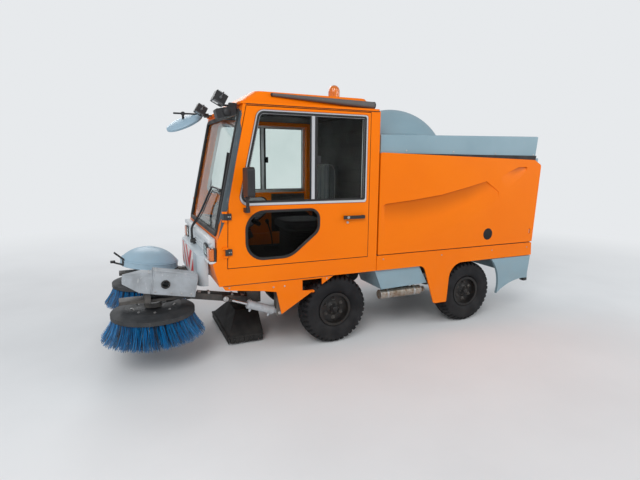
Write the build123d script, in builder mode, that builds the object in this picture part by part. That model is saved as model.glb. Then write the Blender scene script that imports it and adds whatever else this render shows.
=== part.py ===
from build123d import *
import math
import os

# Compact road sweeper, millimetres.
# +X points forwards, +Y to the left and +Z up. The ground is z = 0.
# The origin is on the ground, under the middle of the machine's length and width.
# Lengths named ahead are measured forwards from the front axle.

# Running gear
wheelbase = 1400
tyre_diameter = 585
tyre_width = 175
wheel_inset = 40
rim_radius = 130
rim_flange_radius = 143
rim_wall = 8
rim_width = 140
rim_flange_width = 8
hub_radius = 48
spindle_radius = 18
kingpin_radius = 14
kingpin_inset = 122
kingpin_boss_radius = 28
kingpin_boss_height = 70
fork_thickness = 18
steering_arm_length = 130
axle_beam = 50
rear_tube_radius = 35

# Body
body_half_width = 680
cab_back_ahead = -350
cab_floor_z = 606
cab_floor_thickness = 40
cab_top_z = 1914
cab_wall = 40
door_thickness = 35
door_gap = 6
door_seal_gap = 5
door_flange = 30
door_sill_z = 740
roof_top_z = 2016
roof_skin = 25
glass_thickness = 6
band_top_z = 734
skirt_thickness = 12
frame_ring = 28

# Brushes
brush_ahead = 1420
brush_disc_radius = 295
brush_tip_radius = 370
brush_tip_z = 225
brush_disc_z = 395
brush_disc_thickness = 52
tuft_count = 30
motor_radius = 62
arm_pivot_ahead = 700
arm_pivot_z = 420
carrier_pivot_ahead = 1150
carrier_pivot_z = 505
arm_width = 60
disc_shaft_radius = 16
cylinder_eye_pin = 9
cylinder_inset = 120
arm_to_cylinder = 110

# Hopper
hopper_front_ahead = -372
hopper_back_ahead = -2150
tail_end_ahead = -2199
hopper_bottom_z = 742
hopper_rim_z = 1590
hopper_wall = 20
tub_floor_z = 775
lid_back_z = 1772
lid_front_z = 1738
dome_radius = 460
dome_rise = 250
tailgate_thickness = 30
hinge_pin_radius = 15

# Clearances
seat = 0.3
running = 0.1

# Places that follow from the sizes above
nose_reach = brush_ahead + brush_tip_radius
front_axle_x = (-tail_end_ahead - nose_reach) / 2
rear_axle_x = front_axle_x - wheelbase
tyre_radius = tyre_diameter / 2
axle_z = tyre_radius
wheel_y = body_half_width - wheel_inset - tyre_width / 2
kingpin_y = wheel_y - kingpin_inset
rail_y = body_half_width - 420
rail_width = 60
rail_low_z = 500
rail_top_z = 600
rail_inner = rail_y - rail_width / 2
rail_outer = rail_y + rail_width / 2
cylinder_y = body_half_width - cylinder_inset
brush_y = cylinder_y - arm_to_cylinder
SIDES = (("left", 1), ("right", -1))


def ahead(distance):
    """X of a place so far ahead of the front axle."""
    return front_axle_x + distance


def side_plane(y):
    """Upright plane along the vehicle, y to the left of its middle."""
    return Plane.XZ.offset(-y)


def span(x_low, x_high, y_low, y_high, z_low, z_high, mode=Mode.ADD):
    """Box between two corners."""
    with Locations(((x_low + x_high) / 2, (y_low + y_high) / 2, (z_low + z_high) / 2)):
        return Box(x_high - x_low, y_high - y_low, z_high - z_low, mode=mode)


def placed(points):
    """Outline given ahead of the front axle, moved to its place."""
    return [(ahead(x), z) for x, z in points]


def side_panel(points, y_outer, thickness, side, radii=None):
    """Flat panel on one side of the body, from its outer face inwards."""
    with BuildPart() as panel:
        with BuildSketch(side_plane(side * y_outer)):
            with BuildLine():
                if radii is None:
                    Polyline(*placed(points), close=True)
                else:
                    FilletPolyline(*placed(points), radius=radii, close=True)
            make_face()
        extrude(amount=side * thickness)
    return panel.part


def upright(x, y, z_low, z_high, radius, mode=Mode.ADD):
    """Upright round bar."""
    with Locations((x, y, (z_low + z_high) / 2)):
        return Cylinder(radius, z_high - z_low, mode=mode)


def crossways(x, z, y_low, y_high, radius, mode=Mode.ADD):
    """Round bar across the vehicle."""
    with Locations((x, (y_low + y_high) / 2, z)):
        return Cylinder(radius, y_high - y_low, rotation=(90, 0, 0), mode=mode)


os.makedirs("parts", exist_ok=True)


def save(name, part):
    """Label a finished piece and write it."""
    part.label = name
    export_step(part, f"parts/{name}.step")


# Frame: two rails
rail_front = ahead(860)
rail_back = ahead(-2120)
with BuildPart() as frame:
    for _, side in SIDES:
        low_y, high_y = sorted((side * rail_inner, side * rail_outer))
        span(rail_back, rail_front, low_y, high_y, rail_low_z, rail_top_z)
save("frame", frame.part)

# Beams: centre ahead, length along x, low z, high z, half width
tail_beam_ahead = -2105
outrigger_length = 50
outrigger_low_z = rail_top_z + seat
outrigger_top_z = 650
outrigger_half = body_half_width - skirt_thickness - seat
foot_beam_ahead = 485
foot_beam_low_z = 560
duct_beam_ahead = -320
duct_beam_low_z = 520
beams = (
    (650, 80, rail_low_z, rail_top_z, cylinder_y - 25),
    (foot_beam_ahead, 70, foot_beam_low_z, rail_top_z, cylinder_y + 40),
    (duct_beam_ahead, 50, duct_beam_low_z, rail_top_z, rail_outer),
    (-950, outrigger_length, outrigger_low_z, outrigger_top_z, outrigger_half),
    (-1800, outrigger_length, outrigger_low_z, outrigger_top_z, outrigger_half),
    (tail_beam_ahead, outrigger_length, outrigger_low_z, outrigger_top_z, outrigger_half),
)
with BuildPart() as cross_beams:
    for centre, length, low_z, high_z, half in beams:
        if low_z >= rail_top_z:
            stretches = ((-half, half),)
        else:
            between = rail_inner - seat
            beside = rail_outer + seat
            stretches = ((-half, -beside), (-between, between), (beside, half))
        for low_y, high_y in stretches:
            if high_y > low_y:
                span(ahead(centre) - length / 2, ahead(centre) + length / 2, low_y, high_y, low_z, high_z)
save("cross_beams", cross_beams.part)

# Brackets on the frame: cab and jack pads, ears for the arms, the cylinders and the hopper, towing eye
arm_pivot_x = ahead(arm_pivot_ahead)
carrier_pivot_x = ahead(carrier_pivot_ahead)
arm_pin_radius = 14
ear_thickness = 12
ear_play = 1
cylinder_foot_ahead = 484
cylinder_foot_z = 319
cylinder_foot_half = 20
cylinder_foot_pin = 9
foot_ear_thickness = 10
cylinder_eye_ahead = 906
cylinder_eye_z = 477
hopper_hinge_x = ahead(-2165)
hopper_hinge_z = hopper_bottom_z
hopper_ear_y = rail_y + 20
tip_foot_ahead = -1750
tip_foot_z = 560
tip_foot_pin = 12
tip_eye_ahead = -700
tip_eye_z = 727
tip_y = rail_y + 120
tow_eye_ahead = -2170
tow_eye_radius = 28
tow_eye_low_z = 605
tow_eye_top_z = 645
tow_pin_radius = 15
tow_pin_play = 0.5
jack_pad_ahead = -650
jack_pad_thickness = 8
with BuildPart() as brackets:
    for _, side in SIDES:
        low_y, high_y = sorted((side * rail_inner, side * rail_outer))
        for pad_ahead in (600, -200):
            span(
                ahead(pad_ahead) - 30, ahead(pad_ahead) + 30, low_y, high_y,
                rail_top_z + seat, cab_floor_z - seat,
            )
        pad_top_z = rail_low_z - seat
        span(
            ahead(jack_pad_ahead) - 35, ahead(jack_pad_ahead) + 35, low_y, high_y,
            pad_top_z - jack_pad_thickness, pad_top_z,
        )
        for ear_side in (-1, 1):
            ear_mid = side * brush_y + ear_side * (arm_width / 2 + ear_play + ear_thickness / 2)
            span(
                ahead(610), arm_pivot_x + 20,
                ear_mid - ear_thickness / 2, ear_mid + ear_thickness / 2,
                arm_pivot_z - 22, rail_low_z - seat,
            )
            foot_mid = side * cylinder_y + ear_side * (cylinder_foot_half + 5 + foot_ear_thickness / 2)
            span(
                ahead(cylinder_foot_ahead) - 24, ahead(cylinder_foot_ahead) + 24,
                foot_mid - foot_ear_thickness / 2, foot_mid + foot_ear_thickness / 2,
                cylinder_foot_z - 22, foot_beam_low_z - seat,
            )
        pin_half = arm_width / 2 + ear_play + ear_thickness
        crossways(
            arm_pivot_x, arm_pivot_z,
            side * brush_y - pin_half, side * brush_y + pin_half, arm_pin_radius,
        )
        pin_half = cylinder_foot_half + 5 + foot_ear_thickness
        crossways(
            ahead(cylinder_foot_ahead), cylinder_foot_z,
            side * cylinder_y - pin_half, side * cylinder_y + pin_half, cylinder_foot_pin,
        )
        ear_low, ear_high = sorted((side * (hopper_ear_y - 10), side * (hopper_ear_y + 10)))
        span(
            hopper_hinge_x - 20, ahead(tail_beam_ahead) + 20, ear_low, ear_high,
            outrigger_top_z + seat, hopper_hinge_z,
        )
        crossways(hopper_hinge_x, hopper_hinge_z, ear_low, ear_high, 20)
        pin_low, pin_high = sorted((side * hopper_ear_y, side * (hopper_ear_y + 46)))
        crossways(hopper_hinge_x, hopper_hinge_z, pin_low, pin_high, hinge_pin_radius)
        flange_low, flange_high = sorted((side * (rail_outer + seat), side * (rail_outer + seat + 12)))
        crossways(ahead(tip_foot_ahead), tip_foot_z, flange_low, flange_high, 30)
        foot_low, foot_high = sorted((side * (rail_outer + seat), side * (tip_y + 24)))
        crossways(ahead(tip_foot_ahead), tip_foot_z, foot_low, foot_high, tip_foot_pin)
    tow_eye_x = ahead(tow_eye_ahead)
    beam_rear = ahead(tail_beam_ahead) - outrigger_length / 2 - seat
    span(tow_eye_x, beam_rear, -tow_eye_radius, tow_eye_radius, tow_eye_low_z, tow_eye_top_z)
    upright(tow_eye_x, 0, tow_eye_low_z, tow_eye_top_z, tow_eye_radius)
    upright(
        tow_eye_x, 0, tow_eye_low_z, tow_eye_top_z,
        tow_pin_radius + tow_pin_play, mode=Mode.SUBTRACT,
    )
save("brackets", brackets.part)

# Engine, one closed block on lugs that rest on the rails
engine_back_ahead = -1620
engine_front_ahead = -1020
engine_low_z = 400
engine_top_z = 720
engine_play = 10
engine_half = rail_inner - engine_play
lug_half = rail_outer - 5
lug_thickness = 18
with BuildPart() as engine_block:
    span(ahead(engine_back_ahead), ahead(engine_front_ahead), -engine_half, engine_half, engine_low_z, engine_top_z)
    for lug_ahead in (engine_front_ahead - 100, engine_back_ahead + 100):
        span(
            ahead(lug_ahead) - 30, ahead(lug_ahead) + 30, -lug_half, lug_half,
            rail_top_z, rail_top_z + lug_thickness,
        )
save("engine_block", engine_block.part)


def springs(axle_x, seat_z):
    """Leaf springs under both rails, standing on an axle."""
    for _, side in SIDES:
        low_y, high_y = sorted((side * (rail_y - 25), side * (rail_y + 25)))
        span(axle_x - 300, axle_x + 300, low_y, high_y, seat_z, seat_z + 20)
        for hanger in (-285, 285):
            span(axle_x + hanger - 14, axle_x + hanger + 14, low_y, high_y, seat_z + 20, rail_low_z)


with BuildPart() as front_axle:
    half_beam = axle_beam / 2
    span(
        front_axle_x - half_beam, front_axle_x + half_beam,
        -kingpin_y, kingpin_y,
        axle_z - half_beam, axle_z + half_beam,
    )
    for _, side in SIDES:
        boss = kingpin_boss_height / 2
        upright(front_axle_x, side * kingpin_y, axle_z - boss, axle_z + boss, kingpin_boss_radius)
        upright(
            front_axle_x, side * kingpin_y, axle_z - boss, axle_z + boss,
            kingpin_radius + running, mode=Mode.SUBTRACT,
        )
    springs(front_axle_x, axle_z + half_beam)
save("front_axle", front_axle.part)

spindle_end = 36
with BuildPart() as rear_axle:
    crossways(rear_axle_x, axle_z, -(wheel_y - 55), wheel_y - 55, rear_tube_radius)
    crossways(rear_axle_x, axle_z, -(wheel_y + spindle_end), wheel_y + spindle_end, spindle_radius)
    with Locations((rear_axle_x, 0, axle_z)):
        Sphere(92)
    springs(rear_axle_x, axle_z + rear_tube_radius - 3)
save("rear_axle", rear_axle.part)

# Knuckles: a fork round the axle's boss with its kingpin, spindle and steering arm
fork_gap = 1
arm_eye_radius = 16
arm_eye_pin = 8
tie_rod_z = axle_z - kingpin_boss_height / 2 - fork_gap - fork_thickness - 12
for tag, side in SIDES:
    king_y = side * kingpin_y
    with BuildPart() as knuckle:
        boss = kingpin_boss_height / 2 + fork_gap
        upright(front_axle_x, king_y, axle_z - boss, axle_z + boss, kingpin_radius)
        for fork_low in (axle_z + boss, axle_z - boss - fork_thickness):
            upright(front_axle_x, king_y, fork_low, fork_low + fork_thickness, kingpin_boss_radius)
            low_y, high_y = sorted((king_y, king_y + side * 55))
            span(front_axle_x - 28, front_axle_x + 28, low_y, high_y, fork_low, fork_low + fork_thickness)
        low_y, high_y = sorted((king_y + side * 36, king_y + side * 55))
        span(
            front_axle_x - 28, front_axle_x + 28, low_y, high_y,
            axle_z - boss - fork_thickness, axle_z + boss + fork_thickness,
        )
        low_y, high_y = sorted((king_y + side * 50, side * (wheel_y + spindle_end)))
        crossways(front_axle_x, axle_z, low_y, high_y, spindle_radius)
        arm_low = axle_z - boss - fork_thickness
        eye_x = front_axle_x - steering_arm_length
        span(eye_x, front_axle_x, king_y - 15, king_y + 15, arm_low, arm_low + fork_thickness)
        upright(eye_x, king_y, arm_low, arm_low + fork_thickness, 15)
        upright(eye_x, king_y, tie_rod_z - 12, arm_low, arm_eye_pin)
    save(f"knuckle_{tag}", knuckle.part)

with BuildPart() as tie_rod:
    eye_x = front_axle_x - steering_arm_length
    crossways(eye_x, tie_rod_z, -(kingpin_y - 12), kingpin_y - 12, 8)
    for _, side in SIDES:
        upright(eye_x, side * kingpin_y, tie_rod_z - 10, tie_rod_z + 10, arm_eye_radius)
        upright(
            eye_x, side * kingpin_y, tie_rod_z - 10, tie_rod_z + 10,
            arm_eye_pin + running, mode=Mode.SUBTRACT,
        )
save("tie_rod", tie_rod.part)

# Wheels: name, axle x, side
wheels = (
    ("front_left", front_axle_x, 1),
    ("front_right", front_axle_x, -1),
    ("rear_left", rear_axle_x, 1),
    ("rear_right", rear_axle_x, -1),
)
half_tyre = tyre_width / 2
tread_half = half_tyre - 12
hub_inner = -40
hub_outer = 52
disc_out = 26
for tag, wheel_x, side in wheels:
    centre = (wheel_x, side * wheel_y, axle_z)
    wheel_plane = Plane(origin=centre, x_dir=(0, side, 0), z_dir=(side, 0, 0))
    wheel_axis = Axis(centre, (0, 1, 0))
    with BuildPart() as tyre:
        with BuildSketch(wheel_plane):
            with BuildLine():
                bore = rim_radius + seat
                bead = rim_width / 2 - rim_flange_width - seat
                bead_top = rim_flange_radius + seat
                sidewall_r = (tyre_radius + bead_top) / 2
                Polyline((-bead, bead_top), (-bead, bore), (bead, bore), (bead, bead_top))
                ThreePointArc((bead, bead_top), (half_tyre, sidewall_r), (tread_half, tyre_radius - 14))
                Line((tread_half, tyre_radius - 14), (tread_half - 14, tyre_radius))
                Line((tread_half - 14, tyre_radius), (-(tread_half - 14), tyre_radius))
                Line((-(tread_half - 14), tyre_radius), (-tread_half, tyre_radius - 14))
                ThreePointArc((-tread_half, tyre_radius - 14), (-half_tyre, sidewall_r), (-bead, bead_top))
            make_face()
        revolve(axis=wheel_axis)
    save(f"tyre_{tag}", tyre.part)
    with BuildPart() as rim:
        with BuildSketch(wheel_plane):
            with BuildLine():
                half_rim = rim_width / 2
                Polyline(
                    (-half_rim, rim_radius - rim_wall), (disc_out - 8, rim_radius - rim_wall),
                    (disc_out - 8, hub_radius), (hub_inner, hub_radius),
                    (hub_inner, spindle_radius + running), (spindle_end + 2, spindle_radius + running),
                    (spindle_end + 2, 0), (hub_outer, 0), (hub_outer, hub_radius - 14),
                    (disc_out + 12, hub_radius - 6), (disc_out, hub_radius + 14),
                    (disc_out, rim_radius - rim_wall), (half_rim, rim_radius - rim_wall),
                    (half_rim, rim_flange_radius), (half_rim - rim_flange_width, rim_flange_radius),
                    (half_rim - rim_flange_width, rim_radius), (rim_flange_width - half_rim, rim_radius),
                    (rim_flange_width - half_rim, rim_flange_radius), (-half_rim, rim_flange_radius),
                    close=True,
                )
            make_face()
        revolve(axis=wheel_axis)
    save(f"rim_{tag}", rim.part)

# Cab shell: side outline of the cab, hollowed, with door apertures and a windscreen opening
door_front_top = (744, 1899)
door_front_mid = (888, 1240)
door_front_low = (906, door_sill_z)
door_rear_low = (-262, door_sill_z)
door_rear_top = (-262, 1899)
door_outline = (door_rear_low, door_front_low, door_front_mid, door_front_top, door_rear_top)
screen_top = (769, 1907)
screen_low = (978, 945)
nose_mid = (985, 795)
nose_chin = (1015, 778)
nose_low = (972, cab_floor_z)
cab_outline = (
    (cab_back_ahead, cab_floor_z), nose_low, nose_chin, nose_mid, screen_low, screen_top,
    (766, cab_top_z), (cab_back_ahead, cab_top_z),
)
inner_half_width = body_half_width - 2 * cab_wall
with BuildPart() as cab_room:
    with BuildSketch(side_plane(inner_half_width)):
        with BuildLine():
            Polyline(
                *placed((
                    (cab_back_ahead + cab_wall, cab_floor_z + cab_floor_thickness),
                    (nose_low[0] - cab_wall, cab_floor_z + cab_floor_thickness),
                    (nose_mid[0] - cab_wall, nose_mid[1]),
                    (screen_low[0] - cab_wall, screen_low[1]),
                    (screen_top[0] - cab_wall, cab_top_z + 1),
                    (cab_back_ahead + cab_wall, cab_top_z + 1),
                )),
                close=True,
            )
        make_face()
    extrude(amount=2 * inner_half_width)

glass_half_width = body_half_width - 68
screen_lean = math.atan2(screen_low[0] - screen_top[0], screen_top[1] - screen_low[1])
screen_out = Vector(math.cos(screen_lean), 0, math.sin(screen_lean))
screen_length = math.hypot(screen_low[0] - screen_top[0], screen_top[1] - screen_low[1])
screen_centre = Vector(ahead((screen_low[0] + screen_top[0]) / 2), 0, (screen_low[1] + screen_top[1]) / 2)
screen_plane = Plane(origin=screen_centre, x_dir=(0, 1, 0), z_dir=screen_out)
screen_height = screen_length - 80

hinge_ahead = 914
hinge_y = body_half_width + 11
hinge_levels = (860, 1120)
hinge_height = 46
with BuildPart() as cab_shell:
    with BuildSketch(side_plane(body_half_width)):
        with BuildLine():
            Polyline(*placed(cab_outline), close=True)
        make_face()
    extrude(amount=2 * body_half_width)
    add(cab_room.part, mode=Mode.SUBTRACT)
    for _, side in SIDES:
        with BuildSketch(side_plane(side * (body_half_width + 1))):
            with BuildLine():
                Polyline(*placed(door_outline), close=True)
            make_face()
            offset(amount=door_gap, kind=Kind.INTERSECTION)
        extrude(amount=side * (door_thickness + door_seal_gap + 1), mode=Mode.SUBTRACT)
        with BuildSketch(side_plane(side * (body_half_width + 1))):
            with BuildLine():
                Polyline(*placed(door_outline), close=True)
            make_face()
            offset(amount=-door_flange, kind=Kind.INTERSECTION)
        extrude(amount=side * (2 * cab_wall + 2), mode=Mode.SUBTRACT)
    with BuildSketch(screen_plane.offset(1)):
        Rectangle(2 * glass_half_width, screen_height)
        fillet(vertices(), radius=30)
    extrude(amount=-(cab_wall + 30), mode=Mode.SUBTRACT)
    for _, side in SIDES:
        for level in hinge_levels:
            low = level - hinge_height / 2
            for lug_low in (low - 15, low + hinge_height + 1):
                upright(ahead(hinge_ahead), side * hinge_y, lug_low, lug_low + 14, 10)
                low_y, high_y = sorted((side * (body_half_width - 3), side * (hinge_y + 2)))
                span(ahead(hinge_ahead), ahead(hinge_ahead) + 26, low_y, high_y, lug_low, lug_low + 14)
            upright(ahead(hinge_ahead), side * hinge_y, low - 10, low + hinge_height + 10, 5)
save("cab_shell", cab_shell.part)

with BuildPart() as windscreen:
    with BuildSketch(screen_plane.offset(-8)):
        Rectangle(2 * glass_half_width - 1, screen_height - 1)
        fillet(vertices(), radius=29)
    extrude(amount=-glass_thickness)
save("windscreen", windscreen.part)

# Roof cap with its rain gutter, lofted between two rounded rectangles
roof_front = 785
roof_top_front = 660
roof_top_back = -275
gutter_height = 16
roof_low_half = body_half_width - 46
roof_top_half = body_half_width - 90


# Levels of the roof's hollow and of its outside: z, back and front ahead, half width, corner radius
roof_low_z = cab_top_z + gutter_height
hollow_levels = (
    (cab_top_z - 1, cab_back_ahead + cab_wall, roof_front - 60, roof_low_half - 40, 20),
    (
        roof_top_z - roof_skin, roof_top_back + roof_skin, roof_top_front - roof_skin,
        roof_top_half - roof_skin, 20,
    ),
)
roof_levels = (
    (roof_low_z, cab_back_ahead + 6, roof_front - 4, roof_low_half, 40),
    (roof_top_z, roof_top_back, roof_top_front, roof_top_half, 60),
)
with BuildPart() as roof_hollow:
    for z, back, front, half_width, radius in hollow_levels:
        with BuildSketch(Plane.XY.offset(z)):
            with Locations((ahead((back + front) / 2), 0)):
                RectangleRounded(front - back, 2 * half_width, radius)
    loft()
with BuildPart() as cab_roof:
    for z, back, front, half_width, radius in roof_levels:
        with BuildSketch(Plane.XY.offset(z)):
            with Locations((ahead((back + front) / 2), 0)):
                RectangleRounded(front - back, 2 * half_width, radius)
    loft()
    with BuildSketch(Plane.XY.offset(cab_top_z)):
        with Locations((ahead((cab_back_ahead + roof_front) / 2), 0)):
            RectangleRounded(roof_front - cab_back_ahead, 2 * body_half_width + 12, 30)
    extrude(amount=gutter_height)
    add(roof_hollow.part, mode=Mode.SUBTRACT)
save("cab_roof", cab_roof.part)

# Front panel under the windscreen, with the fairing over the brush arms
panel_back_ahead = 986
panel_face_ahead = 1022
panel_half_width = body_half_width - 48
panel_corner = 26
fairing_low_z = 566
fairing_top_z = 808
fairing_depth = 76
fairing_half_width = body_half_width - 200
fairing_corner = 60
with BuildPart() as front_panel:
    with BuildSketch(Plane.XY.offset(nose_mid[1] + 6)):
        with Locations((ahead((panel_back_ahead + panel_face_ahead) / 2), 0)):
            Rectangle(panel_face_ahead - panel_back_ahead, 2 * panel_half_width)
        fillet(vertices().group_by(Axis.X)[-1], radius=panel_corner)
    extrude(amount=screen_low[1] - nose_mid[1] - 10)
    with BuildSketch(Plane.XY.offset(fairing_low_z)):
        with Locations((ahead(nose_chin[0] + seat + fairing_depth / 2), 0)):
            Rectangle(fairing_depth, 2 * fairing_half_width)
        fillet(vertices().group_by(Axis.X)[-1], radius=fairing_corner)
    extrude(amount=fairing_top_z - fairing_low_z)
save("front_panel", front_panel.part)

# Lamps: ahead of the face that each stands on, inset of its middle from the body's side,
# z, width, height, depth
corner_lamp_width = body_half_width - panel_half_width - seat
front_lamps = (
    (panel_face_ahead, 78, 838, 64, 80, 16),
    (panel_back_ahead + 1, corner_lamp_width / 2, 838, corner_lamp_width, 80, 51),
    (panel_face_ahead, 188, 856, 132, 92, 12),
)
tail_lamps = ((-2150, 120, 480, 120, 70, 14),)
with BuildPart() as lamps:
    for _, side in SIDES:
        for face, inset, z, width, height, depth in front_lamps:
            lamp_mid = side * (body_half_width - inset)
            span(
                ahead(face) + seat, ahead(face) + seat + depth,
                lamp_mid - width / 2, lamp_mid + width / 2, z - height / 2, z + height / 2,
            )
        for face, inset, z, width, height, depth in tail_lamps:
            lamp_mid = side * (body_half_width - inset)
            span(
                ahead(face) - seat - depth, ahead(face) - seat,
                lamp_mid - width / 2, lamp_mid + width / 2, z - height / 2, z + height / 2,
            )
save("lamps", lamps.part)

# Doors
window_outline = ((-235, 1195), (822, 1195), (667, 1878), (-235, 1878))
window_radii = [18, 62, 62, 18]
port_outline = ((762, 790), (762, 1148), (182, 1152), (182, 985), (420, 792))
port_radii = [130, 140, 75, 90, 190]
grip_low_z = 1064
grip_top_z = 1090
grip_reach = 30
grip_thickness = 12
grip_post_half = 10
mirror_bracket_ahead = 765
mirror_bracket_low_z = 1150
mirror_bracket_top_z = 1182
mirror_arm_reach = 60
mirror_arm_radius = 12
mirror_back_ahead = 748
mirror_depth = 46
mirror_corner = 26
mirror_width = 150
mirror_low_z = 1265
mirror_top_z = 1475
door_face = body_half_width
for tag, side in SIDES:
    window_cut = side_panel(window_outline, door_face + 5, door_thickness + 10, side, window_radii)
    port_cut = side_panel(port_outline, door_face + 5, door_thickness + 10, side, port_radii)
    with BuildPart() as door:
        with BuildSketch(side_plane(side * door_face)):
            with BuildLine():
                Polyline(*placed(door_outline), close=True)
            make_face()
        extrude(amount=side * door_thickness)
        add(window_cut, mode=Mode.SUBTRACT)
        add(port_cut, mode=Mode.SUBTRACT)
    save(f"door_{tag}", door.part)
    with BuildPart() as window_frame:
        with BuildSketch(side_plane(side * (door_face + 4))):
            with BuildLine():
                FilletPolyline(*placed(window_outline), radius=window_radii, close=True)
            make_face()
            offset(amount=-seat)
        extrude(amount=side * (door_thickness + 4))
        with BuildSketch(side_plane(side * (door_face + 5))):
            with BuildLine():
                FilletPolyline(*placed(window_outline), radius=window_radii, close=True)
            make_face()
            offset(amount=-frame_ring, kind=Kind.INTERSECTION)
            with Locations((ahead(235), 1536)):
                Rectangle(26, 700, mode=Mode.SUBTRACT)
        extrude(amount=side * (door_thickness + 10), mode=Mode.SUBTRACT)
    save(f"window_frame_{tag}", window_frame.part)
    with BuildPart() as door_glass:
        with BuildSketch(side_plane(side * (door_face - 12))):
            with BuildLine():
                FilletPolyline(*placed(window_outline), radius=window_radii, close=True)
            make_face()
            offset(amount=-frame_ring - seat, kind=Kind.INTERSECTION)
            with Locations((ahead(235), 1536)):
                Rectangle(26 + 2 * seat, 700, mode=Mode.SUBTRACT)
            with BuildLine():
                FilletPolyline(*placed(port_outline), radius=port_radii, close=True)
            make_face()
        extrude(amount=side * glass_thickness)
    save(f"door_glass_{tag}", door_glass.part)
    with BuildPart() as door_fittings:
        grip_face = door_face + grip_reach
        low_y, high_y = sorted((side * door_face, side * grip_face))
        grip_low, grip_high = sorted((side * (grip_face - grip_thickness), side * grip_face))
        span(ahead(-215), ahead(-25), grip_low, grip_high, grip_low_z, grip_top_z)
        for post in (-205, -45):
            span(
                ahead(post) - grip_post_half, ahead(post) + grip_post_half, low_y, high_y,
                grip_low_z, grip_top_z,
            )
        for level in hinge_levels:
            low = level - hinge_height / 2
            upright(ahead(hinge_ahead), side * hinge_y, low, low + hinge_height, 10)
            low_y, high_y = sorted((side * door_face, side * (hinge_y + 2)))
            span(ahead(hinge_ahead) - 40, ahead(hinge_ahead), low_y, high_y, low, low + hinge_height)
            upright(
                ahead(hinge_ahead), side * hinge_y, low, low + hinge_height,
                5 + running, mode=Mode.SUBTRACT,
            )
        arm_y = side * (door_face + mirror_arm_reach)
        low_y, high_y = sorted((side * door_face, arm_y))
        span(
            ahead(mirror_bracket_ahead - 17), ahead(mirror_bracket_ahead + 17), low_y, high_y,
            mirror_bracket_low_z, mirror_bracket_top_z,
        )
        mirror_arm_top = (mirror_low_z + mirror_top_z) / 2 - 40
        upright(ahead(mirror_bracket_ahead), arm_y, mirror_bracket_low_z, mirror_arm_top, mirror_arm_radius)
        with BuildSketch(Plane.YZ.offset(ahead(mirror_back_ahead))):
            with Locations((side * (door_face + 40 + mirror_width / 2), (mirror_low_z + mirror_top_z) / 2)):
                RectangleRounded(mirror_width, mirror_top_z - mirror_low_z, mirror_corner)
        extrude(amount=mirror_depth, taper=8)
    save(f"door_fittings_{tag}", door_fittings.part)

# Side skirts: cab skirt with its step, and the rear band with its arch leg
front_skirt = (
    (45, cab_floor_z), (495, 335), (535, 520), (652, 541), (930, 575), (950, cab_floor_z),
)
step_hole = ((150, 592), (150, 520), (200, 494), (330, 508), (330, 592))
rear_skirt = (
    (-356, band_top_z), (-356, cab_floor_z), (-850, cab_floor_z), (-977, 240), (-1122, 240),
    (-1145, 603), (-1640, cab_floor_z), (-2168, cab_floor_z), (-2158, band_top_z),
)
rear_skirt_radii = [4, 4, 70, 20, 12, 150, 60, 8, 8]
with BuildPart() as side_skirts:
    for _, side in SIDES:
        with BuildSketch(side_plane(side * body_half_width)):
            with BuildLine():
                Polyline(*placed(front_skirt), close=True)
            make_face()
            with BuildLine():
                Polyline(*placed(step_hole), close=True)
            make_face(mode=Mode.SUBTRACT)
            with BuildLine():
                FilletPolyline(*placed(rear_skirt), radius=rear_skirt_radii, close=True)
            make_face()
        extrude(amount=side * skirt_thickness)
        tread_low, tread_high = sorted((side * (body_half_width - 34), side * (body_half_width - 6)))
        span(ahead(215), ahead(330), tread_low, tread_high, 482, 496)
        wall_low, wall_high = sorted((side * (body_half_width - 130), side * (body_half_width - 6)))
        span(ahead(318), ahead(330), wall_low, wall_high, 482, cab_floor_z)
save("side_skirts", side_skirts.part)

# Grey panels: side tanks between the axles, and the tail panels with their valance
tail_top_z = rail_top_z
tank_outline = ((-352, 600), (-425, 428), (-905, 440), (-812, 600))
tail_front_top = (ahead(-1645), tail_top_z)
tail_front_mid = (ahead(-1742), 430)
tail_tip = (ahead(-1738), 250)
tail_low_mid = (ahead(-1900), 341)
tail_back_low = (ahead(-2131), 372)
tail_back_top = (ahead(-2158), tail_top_z)
with BuildPart() as grey_panels:
    for _, side in SIDES:
        with BuildSketch(side_plane(side * (body_half_width - 22))):
            with BuildLine():
                Polyline(*placed(tank_outline), close=True)
            make_face()
        extrude(amount=side * (body_half_width - 22 - rail_outer - seat))
        with BuildSketch(side_plane(side * body_half_width)):
            with BuildLine():
                ThreePointArc(tail_front_top, tail_front_mid, tail_tip)
                ThreePointArc(tail_tip, tail_low_mid, tail_back_low)
                Polyline(tail_back_low, tail_back_top, tail_front_top)
            make_face()
        extrude(amount=side * 25)
    span(ahead(-2150), tail_back_low[0], -(body_half_width - 10), body_half_width - 10, 374, tail_top_z)
save("grey_panels", grey_panels.part)

# Silencer under the left tank, hung on two straps
silencer_y = body_half_width - 90
silencer_z = 362
silencer_radius = 41
strap_half = 10
with BuildPart() as silencer:
    with Locations((ahead(-658), silencer_y, silencer_z)):
        Cylinder(silencer_radius, 430, rotation=(0, 90, 0))
    with Locations((ahead(-890), silencer_y, silencer_z)):
        Cylinder(24, 60, rotation=(0, 90, 0))
    tank_front, tank_back = tank_outline[1:3]
    tank_slope = (tank_back[1] - tank_front[1]) / (tank_front[0] - tank_back[0])
    for strap in (-520, -800):
        strap_top = tank_front[1] + (tank_front[0] - strap - strap_half) * tank_slope - seat
        span(
            ahead(strap) - strap_half, ahead(strap) + strap_half,
            silencer_y - strap_half, silencer_y + strap_half,
            silencer_z + silencer_radius - 8, strap_top,
        )
save("silencer", silencer.part)

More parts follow.
